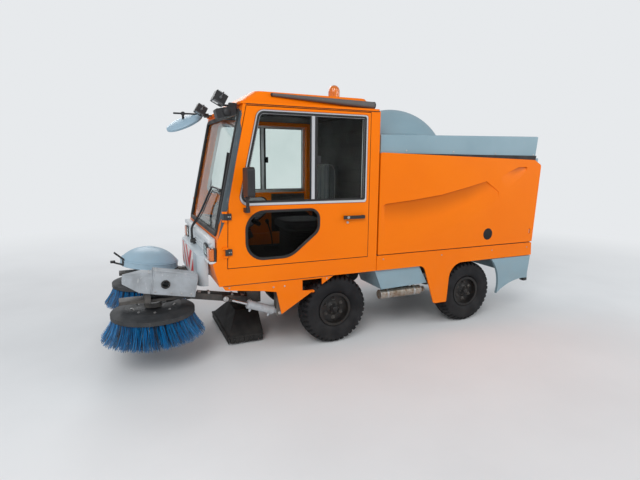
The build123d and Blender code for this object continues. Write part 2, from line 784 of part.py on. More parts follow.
# Suction mouth ahead of the front axle, with its duct back to the hopper
duct_radius = 80
duct_z = 415
duct_front = ahead(600)
duct_back = ahead(-470)
with BuildPart() as suction_mouth:
    with BuildSketch(Plane.XY.offset(60)):
        with Locations((ahead(700), 0)):
            Rectangle(300, 720)
    with BuildSketch(Plane.XY.offset(230)):
        with Locations((ahead(640), 0)):
            Rectangle(200, 300)
    loft()
    with BuildSketch(Plane.XY.offset(59)):
        with Locations((ahead(700), 0)):
            Rectangle(276, 696)
    with BuildSketch(Plane.XY.offset(200)):
        with Locations((ahead(650), 0)):
            Rectangle(180, 300)
    loft(mode=Mode.SUBTRACT)
    upright(duct_front, 0, 215, duct_z, duct_radius)
    with Locations((duct_front, 0, duct_z)):
        Sphere(duct_radius)
    with Locations(((duct_front + duct_back) / 2, 0, duct_z)):
        Cylinder(duct_radius, duct_front - duct_back, rotation=(0, 90, 0))
    with Locations((duct_back, 0, duct_z)):
        Sphere(duct_radius)
    upright(duct_back, 0, duct_z, tub_floor_z - 8, duct_radius)
    for hanger_ahead, beam_low_z in ((622, rail_low_z), (duct_beam_ahead, duct_beam_low_z)):
        span(ahead(hanger_ahead) - 10, ahead(hanger_ahead) + 10, -20, 20, duct_z, beam_low_z - seat)
save("suction_mouth", suction_mouth.part)

# Cab interior: dashboard, steering wheel and seat
dash_low_z = cab_floor_z + cab_floor_thickness + seat
dash_outline = (
    (925, dash_low_z), (925, 940), (905, 1010), (690, 985), (670, 940), (760, 900), (780, dash_low_z),
)
dash_half = inner_half_width - 60
with BuildPart() as dashboard:
    with BuildSketch(side_plane(dash_half)):
        with BuildLine():
            Polyline(*placed(dash_outline), close=True)
        make_face()
    extrude(amount=2 * dash_half)
    column_plane = Plane(origin=(ahead(700), 0, 950), x_dir=(0, 1, 0), z_dir=(-0.55, 0, 0.83))
    with BuildSketch(column_plane):
        Circle(24)
    extrude(amount=150)
    with BuildSketch(column_plane.offset(120)):
        Circle(190)
        Circle(165, mode=Mode.SUBTRACT)
        Rectangle(360, 30)
        Rectangle(30, 360)
    extrude(amount=24)
save("dashboard", dashboard.part)

seat_top_z = 900
seat_back_ahead = -205
seat_frame_back_ahead = -230
seat_box_back_ahead = -160
seat_box_half = 170
seat_back_half = 160
seat_back_low_z = 850
pad_half = 235
pad_corner = 24
with BuildPart() as seat_frame:
    span(
        ahead(seat_box_back_ahead), ahead(220), -seat_box_half, seat_box_half,
        dash_low_z, seat_top_z,
    )
    span(
        ahead(seat_frame_back_ahead), ahead(seat_back_ahead), -seat_back_half, seat_back_half,
        seat_back_low_z, 1480,
    )
    span(
        ahead(seat_frame_back_ahead), ahead(seat_box_back_ahead + 10), -seat_back_half, seat_back_half,
        seat_back_low_z, seat_back_low_z + 30,
    )
save("seat_frame", seat_frame.part)

with BuildPart() as seat_pads:
    span(ahead(seat_box_back_ahead), ahead(300), -pad_half, pad_half, seat_top_z + seat, 1008)
    fillet(edges(), radius=pad_corner)
with BuildPart() as back_pad:
    span(ahead(seat_back_ahead) + seat, ahead(-108), -pad_half, pad_half, 1020, 1520)
    fillet(edges(), radius=pad_corner)
with BuildPart() as seat_cushions:
    add(seat_pads.part)
    add(back_pad.part)
save("seat_pads", seat_cushions.part)

# Roof fittings
with BuildPart() as beacon:
    upright(ahead(-230), 60, roof_top_z, roof_top_z + 40, 42)
    upright(ahead(-230), 60, roof_top_z + 40, roof_top_z + 130, 50)
    with Locations((ahead(-230), 60, roof_top_z + 130)):
        Sphere(50)
save("beacon", beacon.part)

roof_side_slope = (roof_low_half - roof_top_half) / (roof_top_z - roof_low_z)
roof_side_cos = math.cos(math.atan(roof_side_slope))
tube_ends = []
# Tube ends: ahead, z, radius
for end_ahead, end_z, end_radius in ((540, roof_top_z - 22, 12), (-300, roof_top_z - 57, 28)):
    skin_y = roof_low_half - (end_z - roof_low_z) * roof_side_slope
    tube_ends.append(Vector(ahead(end_ahead), skin_y + (end_radius + seat) / roof_side_cos, end_z))
tube_front, tube_back = tube_ends
with BuildPart() as roof_tube:
    tube_plane = Plane(origin=tube_front, z_dir=(tube_back - tube_front))
    with BuildSketch(tube_plane):
        Circle(12)
    with BuildSketch(tube_plane.offset((tube_back - tube_front).length)):
        Circle(28)
    loft()
save("roof_tube", roof_tube.part)

# Roof fittings: a work lamp on an arm at each front corner, the wiper's housing and a wide mirror
lamp_y = body_half_width - 260
lamp_ahead = 880
lamp_z = 1970
lamp_turn = 62
housing_y = body_half_width - 130
dish_y = -(body_half_width - 120)
dish_plane = Plane(
    origin=(ahead(1006), dish_y, 1856), x_dir=(0.902, 0, -0.431), z_dir=(0.39, 0.42, 0.82),
)
dish_rod_z = 1944
with BuildPart() as roof_fittings:
    for _, side in SIDES:
        with Locations((ahead(lamp_ahead), side * lamp_y, lamp_z)):
            Box(74, 104, 92, rotation=(0, lamp_turn, 0))
        span(
            ahead(roof_front) + seat, ahead(lamp_ahead), side * lamp_y - 12, side * lamp_y + 12,
            cab_top_z + 2, cab_top_z + 14,
        )
        upright(ahead(lamp_ahead), side * lamp_y, cab_top_z + 2, lamp_z, 12)
    with Locations((ahead(868), housing_y, 1856)):
        Box(144, 92, 62, rotation=(0, 13.6, 0))
    span(ahead(roof_front) + seat, ahead(840), housing_y - 18, housing_y + 18, 1856, cab_top_z + 12)
    span(ahead(roof_front) + seat, ahead(830), dish_y - 10, dish_y + 10, cab_top_z + 2, dish_rod_z + 10)
    with Locations((ahead(960), dish_y, dish_rod_z)):
        Cylinder(8, 290, rotation=(0, 90, 0))
    with BuildSketch(dish_plane):
        Ellipse(172, 100)
    extrude(amount=14)
    with BuildSketch(dish_plane.offset(14)):
        Ellipse(166, 94)
    with BuildSketch(dish_plane.offset(34)):
        Ellipse(84, 46)
    loft()
    upright(ahead(1020), dish_y, 1876, dish_rod_z, 11)
save("roof_fittings", roof_fittings.part)

# Brush arms, carriers, covers, discs and bristles
brush_x = ahead(brush_ahead)
disc_top = brush_disc_z + brush_disc_thickness
carrier_pin = 12
carrier_ear_play = 1
plate_low_z = 505
plate_top_z = 525
plate_half = 80
plate_front_x = brush_x + 60
nose_end_ahead = 1650
nose_half = 55
carrier_ear_thickness = 14
seat_bar_ahead = 1460
seat_bar_half = 20

# The left cover is a moulded box that leans back, with a lower front whose outer corner is cut away
box_tilt = 10.8
box_wall = 14
box_half = 150
box_step = 310
box_origin = Vector(ahead(1137), brush_y, 527)
box_slope = math.tan(math.radians(box_tilt))
box_forward = (math.cos(math.radians(box_tilt)), 0, math.sin(math.radians(box_tilt)))
box_plane = Plane(origin=box_origin, x_dir=(0, 1, 0), z_dir=box_forward)
# Sections across the box: y to the left of the brush, height over its lower edge
rear_section = ((150, 0), (150, 138), (128, 160), (10, 160), (-150, 70), (-150, 0))
rear_hollow = ((136, -1), (136, 130), (120, 146), (4, 146), (-136, 58), (-136, -1))
front_section = ((150, 0), (150, 112), (120, 140), (10, 140), (-150, 60), (-150, 0))
mid_section = ((140, 0), (140, 104), (110, 136), (8, 138), (-148, 60), (-148, 0))
nose_section = ((34, 26), (34, 82), (16, 88), (0, 90), (-120, 62), (-120, 20))
box_mid = 385
box_end = 500
box_hole_along = 218
box_hole_height = 78
box_hole_radius = 27
# Notch in its rear wall, over the arm
arm_notch_half = arm_width / 2 + 10
arm_notch_top_z = plate_top_z + 16

# The right cover is a shallow round dome on a short skirt
dome_cover_tilt = 6.8
dome_cover_ahead = 1391
dome_cover_z = 568
dome_cover_radius = 248
dome_cover_skirt = 50
dome_cover_rise = 165
dome_cover_wall = 14
dome_cover_slope = math.tan(math.radians(dome_cover_tilt))
dome_cover_origin = Vector(ahead(dome_cover_ahead), -brush_y, dome_cover_z)
dome_cover_up = (-math.sin(math.radians(dome_cover_tilt)), 0, math.cos(math.radians(dome_cover_tilt)))
bar_rear_x = ahead(seat_bar_ahead) - seat_bar_half
# Height of each cover's lower edge over the rear edge of the bar that carries it, and the bar's half length
cover_seats = {
    "left": (box_origin.Z + (bar_rear_x - box_origin.X) * box_slope, box_half - 30),
    "right": (dome_cover_z + (bar_rear_x - dome_cover_origin.X) * dome_cover_slope, dome_cover_radius - 12),
}
for tag, side in SIDES:
    mid_y = side * brush_y
    arm_outline = (
        (arm_pivot_ahead, arm_pivot_z - 26), (carrier_pivot_ahead, carrier_pivot_z - 24),
        (carrier_pivot_ahead, carrier_pivot_z + 24), (arm_pivot_ahead, arm_pivot_z + 26),
    )
    with BuildPart() as brush_arm:
        half_arm = arm_width / 2
        with BuildSketch(side_plane(mid_y + half_arm)):
            with BuildLine():
                Polyline(*placed(arm_outline), close=True)
            make_face()
        extrude(amount=arm_width)
        crossways(arm_pivot_x, arm_pivot_z, mid_y - half_arm, mid_y + half_arm, 26)
        crossways(carrier_pivot_x, carrier_pivot_z, mid_y - half_arm, mid_y + half_arm, 24)
        eye_low, eye_high = sorted((mid_y, side * (cylinder_y + 20)))
        crossways(ahead(cylinder_eye_ahead), cylinder_eye_z, eye_low, eye_high, cylinder_eye_pin)
        crossways(
            arm_pivot_x, arm_pivot_z, mid_y - half_arm - 1, mid_y + half_arm + 1,
            arm_pin_radius + running, mode=Mode.SUBTRACT,
        )
        crossways(
            carrier_pivot_x, carrier_pivot_z, mid_y - half_arm - 1, mid_y + half_arm + 1,
            carrier_pin + running, mode=Mode.SUBTRACT,
        )
    save(f"brush_arm_{tag}", brush_arm.part)
    seat_z, bar_half_length = cover_seats[tag]
    with BuildPart() as carrier:
        ear_inner = arm_width / 2 + carrier_ear_play
        pin_half = ear_inner + carrier_ear_thickness + 1
        crossways(carrier_pivot_x, carrier_pivot_z, mid_y - pin_half, mid_y + pin_half, carrier_pin)
        half_ear = carrier_ear_thickness / 2
        for ear_side in (-1, 1):
            ear_mid = mid_y + ear_side * (ear_inner + half_ear)
            span(
                carrier_pivot_x - 20, carrier_pivot_x + 40, ear_mid - half_ear, ear_mid + half_ear,
                carrier_pivot_z - 20, plate_top_z,
            )
        span(
            carrier_pivot_x + 32, plate_front_x, mid_y - plate_half, mid_y + plate_half,
            plate_low_z, plate_top_z,
        )
        span(
            bar_rear_x, bar_rear_x + 2 * seat_bar_half, mid_y - bar_half_length, mid_y + bar_half_length,
            plate_low_z + 5, seat_z - seat,
        )
        span(
            plate_front_x, ahead(nose_end_ahead), mid_y - nose_half, mid_y + nose_half,
            plate_low_z - 8, plate_top_z - 4,
        )
        upright(brush_x, mid_y, disc_top + 6, plate_low_z, motor_radius)
        upright(brush_x, mid_y, disc_top - 20, disc_top + 6, disc_shaft_radius)
    save(f"carrier_{tag}", carrier.part)
    if side > 0:
        with BuildPart() as cover:
            with BuildSketch(box_plane):
                with BuildLine():
                    Polyline(*rear_section, close=True)
                make_face()
            extrude(amount=box_step)
            with BuildSketch(box_plane.offset(box_wall)):
                with BuildLine():
                    Polyline(*rear_hollow, close=True)
                make_face()
            extrude(amount=box_step - 2 * box_wall, mode=Mode.SUBTRACT)
            for low_place, low_points, high_place, high_points in (
                (box_step, front_section, box_mid, mid_section),
                (box_mid, mid_section, box_end, nose_section),
            ):
                with BuildSketch(box_plane.offset(low_place)):
                    with BuildLine():
                        Polyline(*low_points, close=True)
                    make_face()
                with BuildSketch(box_plane.offset(high_place)):
                    with BuildLine():
                        Polyline(*high_points, close=True)
                    make_face()
                loft(ruled=True)
            span(
                box_origin.X - box_wall, box_origin.X + 2 * box_wall,
                mid_y - arm_notch_half, mid_y + arm_notch_half,
                plate_low_z, arm_notch_top_z, mode=Mode.SUBTRACT,
            )
            hole_centre = box_plane.from_local_coords((0, box_hole_height, box_hole_along))
            crossways(
                hole_centre.X, hole_centre.Z, mid_y + box_half - box_wall - 1, mid_y + box_half + 1,
                box_hole_radius, mode=Mode.SUBTRACT,
            )
    else:
        dome_axis = Axis(dome_cover_origin, dome_cover_up)
        dome_forward = (dome_cover_up[2], 0, -dome_cover_up[0])
        dome_section = Plane(origin=dome_cover_origin, x_dir=(0, 1, 0), z_dir=dome_forward)
        with BuildPart() as cover:
            with BuildSketch(dome_section):
                with BuildLine():
                    inner_radius = dome_cover_radius - dome_cover_wall
                    shoulder = dome_cover_skirt + 12
                    bulge = shoulder + 0.67 * (dome_cover_rise - shoulder)
                    ThreePointArc(
                        (0, dome_cover_rise), (0.62 * dome_cover_radius, bulge),
                        (dome_cover_radius - 10, shoulder),
                    )
                    Polyline(
                        (dome_cover_radius - 10, shoulder), (dome_cover_radius, dome_cover_skirt),
                        (dome_cover_radius, 0), (inner_radius, 0), (inner_radius, dome_cover_skirt),
                        (0, dome_cover_skirt), (0, dome_cover_rise),
                    )
                make_face()
            revolve(axis=dome_axis)
    save(f"brush_cover_{tag}", cover.part)
    with BuildPart() as brush_disc:
        with BuildSketch(Plane.XZ.offset(-mid_y)):
            with BuildLine():
                Polyline(
                    (brush_x, brush_disc_z),
                    (brush_x + brush_disc_radius, brush_disc_z),
                    (brush_x + brush_disc_radius, disc_top - 22),
                    (brush_x + 200, disc_top),
                    (brush_x + 80, disc_top - 8),
                    (brush_x + disc_shaft_radius + running, disc_top - 8),
                    (brush_x + disc_shaft_radius + running, disc_top - 22),
                    (brush_x, disc_top - 22),
                    close=True,
                )
            make_face()
        revolve(axis=Axis((brush_x, mid_y, 0), (0, 0, 1)))
    save(f"brush_disc_{tag}", brush_disc.part)
    with BuildPart() as bristles:
        with BuildSketch(Plane.XY.offset(brush_disc_z - 10)):
            with Locations((brush_x, mid_y)):
                Circle(brush_disc_radius - 20)
                Circle(brush_disc_radius - 90, mode=Mode.SUBTRACT)
        extrude(amount=10)
        tuft_top_radius = brush_disc_radius - 45
        for index in range(tuft_count):
            turn = 360 * index / tuft_count
            top_plane = Plane(origin=(brush_x, mid_y, brush_disc_z - 5)).rotated((0, 0, turn))
            low_plane = Plane(origin=(brush_x, mid_y, brush_tip_z)).rotated((0, 0, turn))
            with BuildSketch(top_plane):
                with Locations((tuft_top_radius, 0)):
                    Rectangle(40, 30)
            with BuildSketch(low_plane):
                with Locations((brush_tip_radius - 40, 0)):
                    Rectangle(80, 58)
            loft()
    save(f"bristles_{tag}", bristles.part)

# Brush lift cylinders
cylinder_foot = Vector(ahead(cylinder_foot_ahead), 0, cylinder_foot_z)
cylinder_eye = Vector(ahead(cylinder_eye_ahead), 0, cylinder_eye_z)
cylinder_run = cylinder_eye - cylinder_foot
barrel_length = 270
barrel_radius = 33
barrel_neck = 48
lift_rod_radius = 11
lift_rod_start = 110
lift_eye_drift = 6
for tag, side in SIDES:
    lift = Vector(0, side * cylinder_y, 0)
    mid_y = side * cylinder_y
    line_plane = Plane(origin=cylinder_foot + lift, x_dir=(0, 1, 0), z_dir=cylinder_run)
    with BuildPart() as barrel:
        crossways(
            cylinder_foot.X, cylinder_foot.Z, mid_y - cylinder_foot_half, mid_y + cylinder_foot_half, 20,
        )
        with BuildSketch(line_plane):
            Circle(18)
        extrude(amount=barrel_neck)
        with BuildSketch(line_plane.offset(barrel_neck)):
            Circle(barrel_radius)
        extrude(amount=barrel_length - barrel_neck)
        crossways(
            cylinder_foot.X, cylinder_foot.Z, mid_y - cylinder_foot_half - 1, mid_y + cylinder_foot_half + 1,
            cylinder_foot_pin + running, mode=Mode.SUBTRACT,
        )
        with BuildSketch(line_plane.offset(60)):
            Circle(lift_rod_radius + running)
        extrude(amount=barrel_length, mode=Mode.SUBTRACT)
    save(f"lift_barrel_{tag}", barrel.part)
    with BuildPart() as rod:
        with BuildSketch(line_plane.offset(lift_rod_start)):
            Circle(lift_rod_radius)
        extrude(amount=cylinder_run.length - lift_rod_start - cylinder_eye_pin - lift_eye_drift + 1)
        crossways(cylinder_eye.X, cylinder_eye.Z, mid_y - 14, mid_y + 14, 22)
        crossways(
            cylinder_eye.X, cylinder_eye.Z, mid_y - 15, mid_y + 15,
            cylinder_eye_pin + lift_eye_drift, mode=Mode.SUBTRACT,
        )
    save(f"lift_rod_{tag}", rod.part)

# Hopper: tub, orange side panels, grey lid with its dome, tailgate
tub_front = ahead(hopper_front_ahead)
tub_back = ahead(hopper_back_ahead)
panel_thickness = 25
tub_half = body_half_width - panel_thickness
gate_x = tub_back - 3
gate_hinge_x = gate_x - tailgate_thickness / 2
gate_hinge_z = hopper_rim_z - 6
gate_barrel_half = tub_half - 55
with BuildPart() as hopper_tub:
    span(tub_back, tub_front, -tub_half, tub_half, tub_floor_z, hopper_rim_z)
    span(
        tub_back - 1, tub_front - hopper_wall, -(tub_half - hopper_wall), tub_half - hopper_wall,
        tub_floor_z + hopper_wall, hopper_rim_z + 1, mode=Mode.SUBTRACT,
    )
    for _, side in SIDES:
        lug_low, lug_high = sorted((side * (hopper_ear_y + 12), side * (hopper_ear_y + 42)))
        crossways(hopper_hinge_x, hopper_hinge_z, lug_low, lug_high, 27)
        span(hopper_hinge_x - 10, hopper_hinge_x + 90, lug_low, lug_high, hopper_hinge_z, tub_floor_z + 5)
        crossways(
            hopper_hinge_x, hopper_hinge_z, lug_low - 1, lug_high + 1,
            hinge_pin_radius + running, mode=Mode.SUBTRACT,
        )
        for ear_inner, ear_outer in ((tip_y - 22, tip_y - 34), (tip_y + 22, tip_y + 34)):
            ear_low, ear_high = sorted((side * ear_inner, side * ear_outer))
            span(
                ahead(tip_eye_ahead) - 16, ahead(tip_eye_ahead) + 16,
                ear_low, ear_high, tip_eye_z - 16, tub_floor_z + 5,
            )
        ear_low, ear_high = sorted((side * (gate_barrel_half + 6), side * (gate_barrel_half + 20)))
        span(gate_hinge_x - 12, tub_back + 40, ear_low, ear_high, gate_hinge_z - 12, gate_hinge_z + 5)
        inner_low, inner_high = sorted((side * (gate_barrel_half + 6), side * (tub_half - 2)))
        span(tub_back, tub_back + 40, inner_low, inner_high, gate_hinge_z - 12, gate_hinge_z + 5)
        pin_low, pin_high = sorted((side * (gate_barrel_half - 25), side * (gate_barrel_half + 12)))
        crossways(gate_hinge_x, gate_hinge_z, pin_low, pin_high, 8)
save("hopper_tub", hopper_tub.part)

panel_outline = (
    (-366, hopper_bottom_z), (-366, 1594), (-2107, 1549), (-2199, 1500), (-2161, hopper_bottom_z + 2),
)
panel_hole_ahead = -1572
panel_hole_z = 852
panel_hole_radius = 50
panel_slot_ahead = -2118
panel_slot_z = 850
panel_slot_length = 54
panel_slot_width = 16
panel_slot_depth = 10
# The sweeping relief: ahead, z of its sharp upper edge, z where it meets the surface below, depth
relief_stations = (
    (-388, 1150, 900, 4), (-430, 1173, 830, 12), (-700, 1198, 826, 13), (-1000, 1236, 890, 13),
    (-1300, 1300, 1000, 13), (-1515, 1350, 1105, 11), (-1672, 1250, 1195, 4),
)
# The drop-shaped relief near the upper rear corner, in the same way
drop_stations = (
    (-1700, 1395, 1335, 3), (-1800, 1442, 1280, 9), (-1900, 1478, 1355, 14), (-2012, 1482, 1450, 14),
)
with BuildPart() as hopper_panels:
    for _, side in SIDES:
        with BuildSketch(side_plane(side * body_half_width)):
            with BuildLine():
                FilletPolyline(*placed(panel_outline), radius=[6, 20, 30, 30, 6], close=True)
            make_face()
        extrude(amount=side * panel_thickness)
        face_y = side * body_half_width
        for stations in (relief_stations, drop_stations):
            for station_ahead, upper_z, lower_z, depth in stations:
                with BuildSketch(Plane.YZ.offset(ahead(station_ahead))):
                    with BuildLine():
                        Polyline(
                            (face_y + side, upper_z), (face_y - side * depth, upper_z),
                            (face_y, lower_z), (face_y + side, lower_z), close=True,
                        )
                    make_face()
            loft(ruled=True, mode=Mode.SUBTRACT)
        hole_low, hole_high = sorted((side * (body_half_width + 1), side * (tub_half - 1)))
        crossways(
            ahead(panel_hole_ahead), panel_hole_z, hole_low, hole_high, panel_hole_radius,
            mode=Mode.SUBTRACT,
        )
        with BuildSketch(side_plane(side * (body_half_width + 1))):
            with Locations((ahead(panel_slot_ahead), panel_slot_z)):
                SlotOverall(panel_slot_length, panel_slot_width, rotation=90)
        extrude(amount=side * (panel_slot_depth + 1), mode=Mode.SUBTRACT)
save("hopper_panels", hopper_panels.part)

lid_half = tub_half - 4
lid_skin = 20
lid_low_z = hopper_rim_z + seat
lid_front_ahead = -378
lid_back_ahead = -2158
dome_x = ahead(-860)
dome_rim_z = lid_front_z + 30
dome_centre_z = dome_rim_z + dome_rise - (dome_radius ** 2 + dome_rise ** 2) / (2 * dome_rise)
sphere_radius = dome_rim_z + dome_rise - dome_centre_z
with BuildPart() as dome:
    with Locations((dome_x, 0, dome_centre_z)):
        Sphere(sphere_radius)
    split(bisect_by=Plane.XY.offset(dome_rim_z), keep=Keep.TOP)
    upright(dome_x, 0, lid_front_z - 10, dome_rim_z, dome_radius)
    upright(dome_x, 0, lid_front_z - 10, lid_front_z + 16, dome_radius + 16)
with BuildPart() as dome_hollow:
    with Locations((dome_x, 0, dome_centre_z)):
        Sphere(sphere_radius - lid_skin)
    split(bisect_by=Plane.XY.offset(dome_rim_z), keep=Keep.TOP)
    upright(dome_x, 0, lid_front_z - 2 * lid_skin, dome_rim_z, dome_radius - 2 * lid_skin)
lid_lean = 18
inner_front = lid_front_ahead - lid_skin
inner_back = lid_back_ahead + lid_skin
with BuildPart() as hopper_lid:
    with BuildSketch(side_plane(lid_half)):
        with BuildLine():
            Polyline(
                *placed((
                    (lid_front_ahead, lid_low_z), (lid_front_ahead, lid_front_z),
                    (lid_back_ahead, lid_back_z), (lid_back_ahead + lid_lean, lid_low_z),
                )),
                close=True,
            )
        make_face()
    extrude(amount=2 * lid_half)
    fillet(hopper_lid.edges().filter_by(Axis.Z, reverse=True).sort_by(Axis.Z)[-4:], radius=10)
    with BuildSketch(side_plane(lid_half - lid_skin)):
        with BuildLine():
            Polyline(
                *placed((
                    (inner_front, lid_low_z - 1), (inner_front, lid_front_z - lid_skin),
                    (inner_back, lid_back_z - lid_skin), (inner_back + lid_skin, lid_low_z - 1),
                )),
                close=True,
            )
        make_face()
    extrude(amount=2 * (lid_half - lid_skin), mode=Mode.SUBTRACT)
    add(dome.part)
    add(dome_hollow.part, mode=Mode.SUBTRACT)
save("hopper_lid", hopper_lid.part)

with BuildPart() as tailgate:
    span(gate_x - tailgate_thickness, gate_x, -(tub_half - 6), tub_half - 6, 800, gate_hinge_z - 18)
    span(
        gate_hinge_x - 6, gate_hinge_x + 6, -gate_barrel_half, gate_barrel_half,
        gate_hinge_z - 20, gate_hinge_z,
    )
    crossways(gate_hinge_x, gate_hinge_z, -gate_barrel_half, gate_barrel_half, 14)
    for _, side in SIDES:
        bore_low, bore_high = sorted((side * (gate_barrel_half - 30), side * (gate_barrel_half + 1)))
        crossways(gate_hinge_x, gate_hinge_z, bore_low, bore_high, 8 + running, mode=Mode.SUBTRACT)
save("tailgate", tailgate.part)

# Tipping cylinders, one on each side of the rails
tip_foot = Vector(ahead(tip_foot_ahead), 0, tip_foot_z)
tip_eye = Vector(ahead(tip_eye_ahead), 0, tip_eye_z)
tip_run = tip_eye - tip_foot
with BuildPart() as tip_barrels:
    for _, side in SIDES:
        crossways(tip_foot.X, tip_foot.Z, side * tip_y - 20, side * tip_y + 20, 24)
    for _, side in SIDES:
        with BuildSketch(Plane(origin=tip_foot + Vector(0, side * tip_y, 0), x_dir=(0, 1, 0), z_dir=tip_run)):
            Circle(27)
        extrude(amount=640)
    for _, side in SIDES:
        crossways(
            tip_foot.X, tip_foot.Z, side * tip_y - 30, side * tip_y + 30,
            tip_foot_pin + running, mode=Mode.SUBTRACT,
        )
        bore_plane = Plane(origin=tip_foot + Vector(0, side * tip_y, 0), x_dir=(0, 1, 0), z_dir=tip_run)
        with BuildSketch(bore_plane.offset(60)):
            Circle(16 + running)
        extrude(amount=640, mode=Mode.SUBTRACT)
save("tip_barrels", tip_barrels.part)
with BuildPart() as tip_rods:
    for _, side in SIDES:
        rod_plane = Plane(origin=tip_foot + Vector(0, side * tip_y, 0), x_dir=(0, 1, 0), z_dir=tip_run)
        with BuildSketch(rod_plane.offset(100)):
            Circle(16)
        extrude(amount=tip_run.length - 100 - 16)
        crossways(tip_eye.X, tip_eye.Z, side * tip_y - 16, side * tip_y + 16, 20)
        crossways(tip_eye.X, tip_eye.Z, side * tip_y - 20, side * tip_y + 20, 10)
save("tip_rods", tip_rods.part)
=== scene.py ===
import logging
import math
from dataclasses import dataclass, replace
from enum import Enum

import bmesh
import bpy
import numpy as np
from mathutils import Matrix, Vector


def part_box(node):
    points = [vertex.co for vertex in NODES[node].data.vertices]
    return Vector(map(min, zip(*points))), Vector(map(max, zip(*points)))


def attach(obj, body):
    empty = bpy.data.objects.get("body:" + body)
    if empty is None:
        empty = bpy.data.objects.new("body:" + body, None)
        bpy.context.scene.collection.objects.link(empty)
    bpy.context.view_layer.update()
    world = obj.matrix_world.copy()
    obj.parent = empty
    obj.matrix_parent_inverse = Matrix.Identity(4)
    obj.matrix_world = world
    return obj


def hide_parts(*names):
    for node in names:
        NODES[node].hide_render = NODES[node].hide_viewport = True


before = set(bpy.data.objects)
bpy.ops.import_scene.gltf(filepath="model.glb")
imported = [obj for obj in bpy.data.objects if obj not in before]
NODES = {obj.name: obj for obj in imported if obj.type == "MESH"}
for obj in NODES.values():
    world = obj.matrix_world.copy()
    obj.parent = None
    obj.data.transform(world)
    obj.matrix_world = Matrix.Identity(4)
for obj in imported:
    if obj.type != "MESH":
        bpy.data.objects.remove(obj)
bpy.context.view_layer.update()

LOG = logging.getLogger("sweeper")
SIDES = (("left", 1), ("right", -1))
WHEELS = tuple((f"{end}_{side}", sign) for end in ("front", "rear") for side, sign in SIDES)
DUST = (0.30, 0.27, 0.235)
# Metres left of the middle between which the painted shade in the recesses of a panel's relief thins out
HOLLOW_SHADE_SPAN = (0.6672, 0.6745)
# Two pi, which rib and thread numbers are divided by to give the wave texture's scale
WAVE_TURN = 6.283


def middle(node: str) -> np.ndarray:
    """Centre of a CAD node's box, in metres.

    Args:
        node: the node's name.

    Returns:
        Its centre.
    """
    low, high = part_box(node)
    return (np.array(low) + np.array(high)) / 2


FRONT_AXLE_X = middle("tyre_front_left")[0]


def at(points: object) -> np.ndarray:
    """Places given in millimetres ahead of the front axle, left of the middle and above the ground.

    Args:
        points: rows of three numbers, or one such row.

    Returns:
        The same places in metres, in the shared frame.
    """
    return np.asarray(points, float) / 1000 + np.array((FRONT_AXLE_X, 0, 0))


@dataclass
class Shape:
    """A surface before it becomes a piece: points in metres, faces of four points each, a tone a point."""

    points: np.ndarray
    faces: np.ndarray
    tone: np.ndarray

    def plus(self, *others: "Shape") -> "Shape":
        """This shape and others as one.

        Args:
            others: the shapes to add.

        Returns:
            The joined shape.
        """
        shapes = (self, *others)
        starts = np.cumsum([0] + [len(s.points) for s in shapes[:-1]])
        return Shape(
            np.concatenate([s.points for s in shapes]),
            np.concatenate([s.faces + start for s, start in zip(shapes, starts)]),
            np.concatenate([s.tone for s in shapes]),
        )

    def mirrored(self) -> "Shape":
        """The same shape on the other side of the machine."""
        return Shape(self.points * (1, -1, 1), self.faces[:, ::-1], self.tone)

    def both(self) -> "Shape":
        """The shape and its mirror image."""
        return self.plus(self.mirrored())

    def on_side(self, sign: int) -> "Shape":
        """The shape as built on the left, or its mirror image for the right."""
        return self if sign > 0 else self.mirrored()

    def scattered(self, offsets: np.ndarray) -> "Shape":
        """Copies of the shape, each moved by one offset.

        Args:
            offsets: rows of three lengths in metres.

        Returns:
            All the copies as one shape.
        """
        offsets = np.asarray(offsets, float)
        count, size = len(offsets), len(self.points)
        points = (self.points[None] + offsets[:, None]).reshape(-1, 3)
        faces = (self.faces[None] + size * np.arange(count)[:, None, None]).reshape(-1, 4)
        return Shape(points, faces, np.tile(self.tone, count))


def skin(
    rows: np.ndarray, round_rows: bool = False, round_columns: bool = True, capped: bool = True,
) -> Shape:
    """A surface over a grid of points: each face joins four neighbours of the grid.

    Args:
        rows: points as rows by columns by three.
        round_rows: whether the last row joins the first.
        round_columns: whether the last column joins the first.
        capped: whether the first and last rows are closed to their middles.

    Returns:
        The surface.
    """
    if capped and not round_rows:
        ends = [np.repeat(rows[k].mean(0)[None], rows.shape[1], 0)[None] for k in (0, -1)]
        rows = np.concatenate([ends[0], rows, ends[1]])
    count, width = rows.shape[:2]
    i = np.arange(count if round_rows else count - 1)[:, None]
    j = np.arange(width if round_columns else width - 1)[None]
    below, beside = (i + 1) % count, (j + 1) % width
    corners = (i * width + j, below * width + j, below * width + beside, i * width + beside)
    faces = np.stack([np.broadcast_to(c, np.broadcast(i, j).shape) for c in corners], -1).reshape(-1, 4)
    points = rows.reshape(-1, 3)
    return Shape(points, faces, np.zeros(len(points)))


def unit(vectors: np.ndarray) -> np.ndarray:
    """Vectors scaled to length one."""
    return vectors / np.maximum(np.linalg.norm(vectors, axis=-1, keepdims=True), 1e-12)


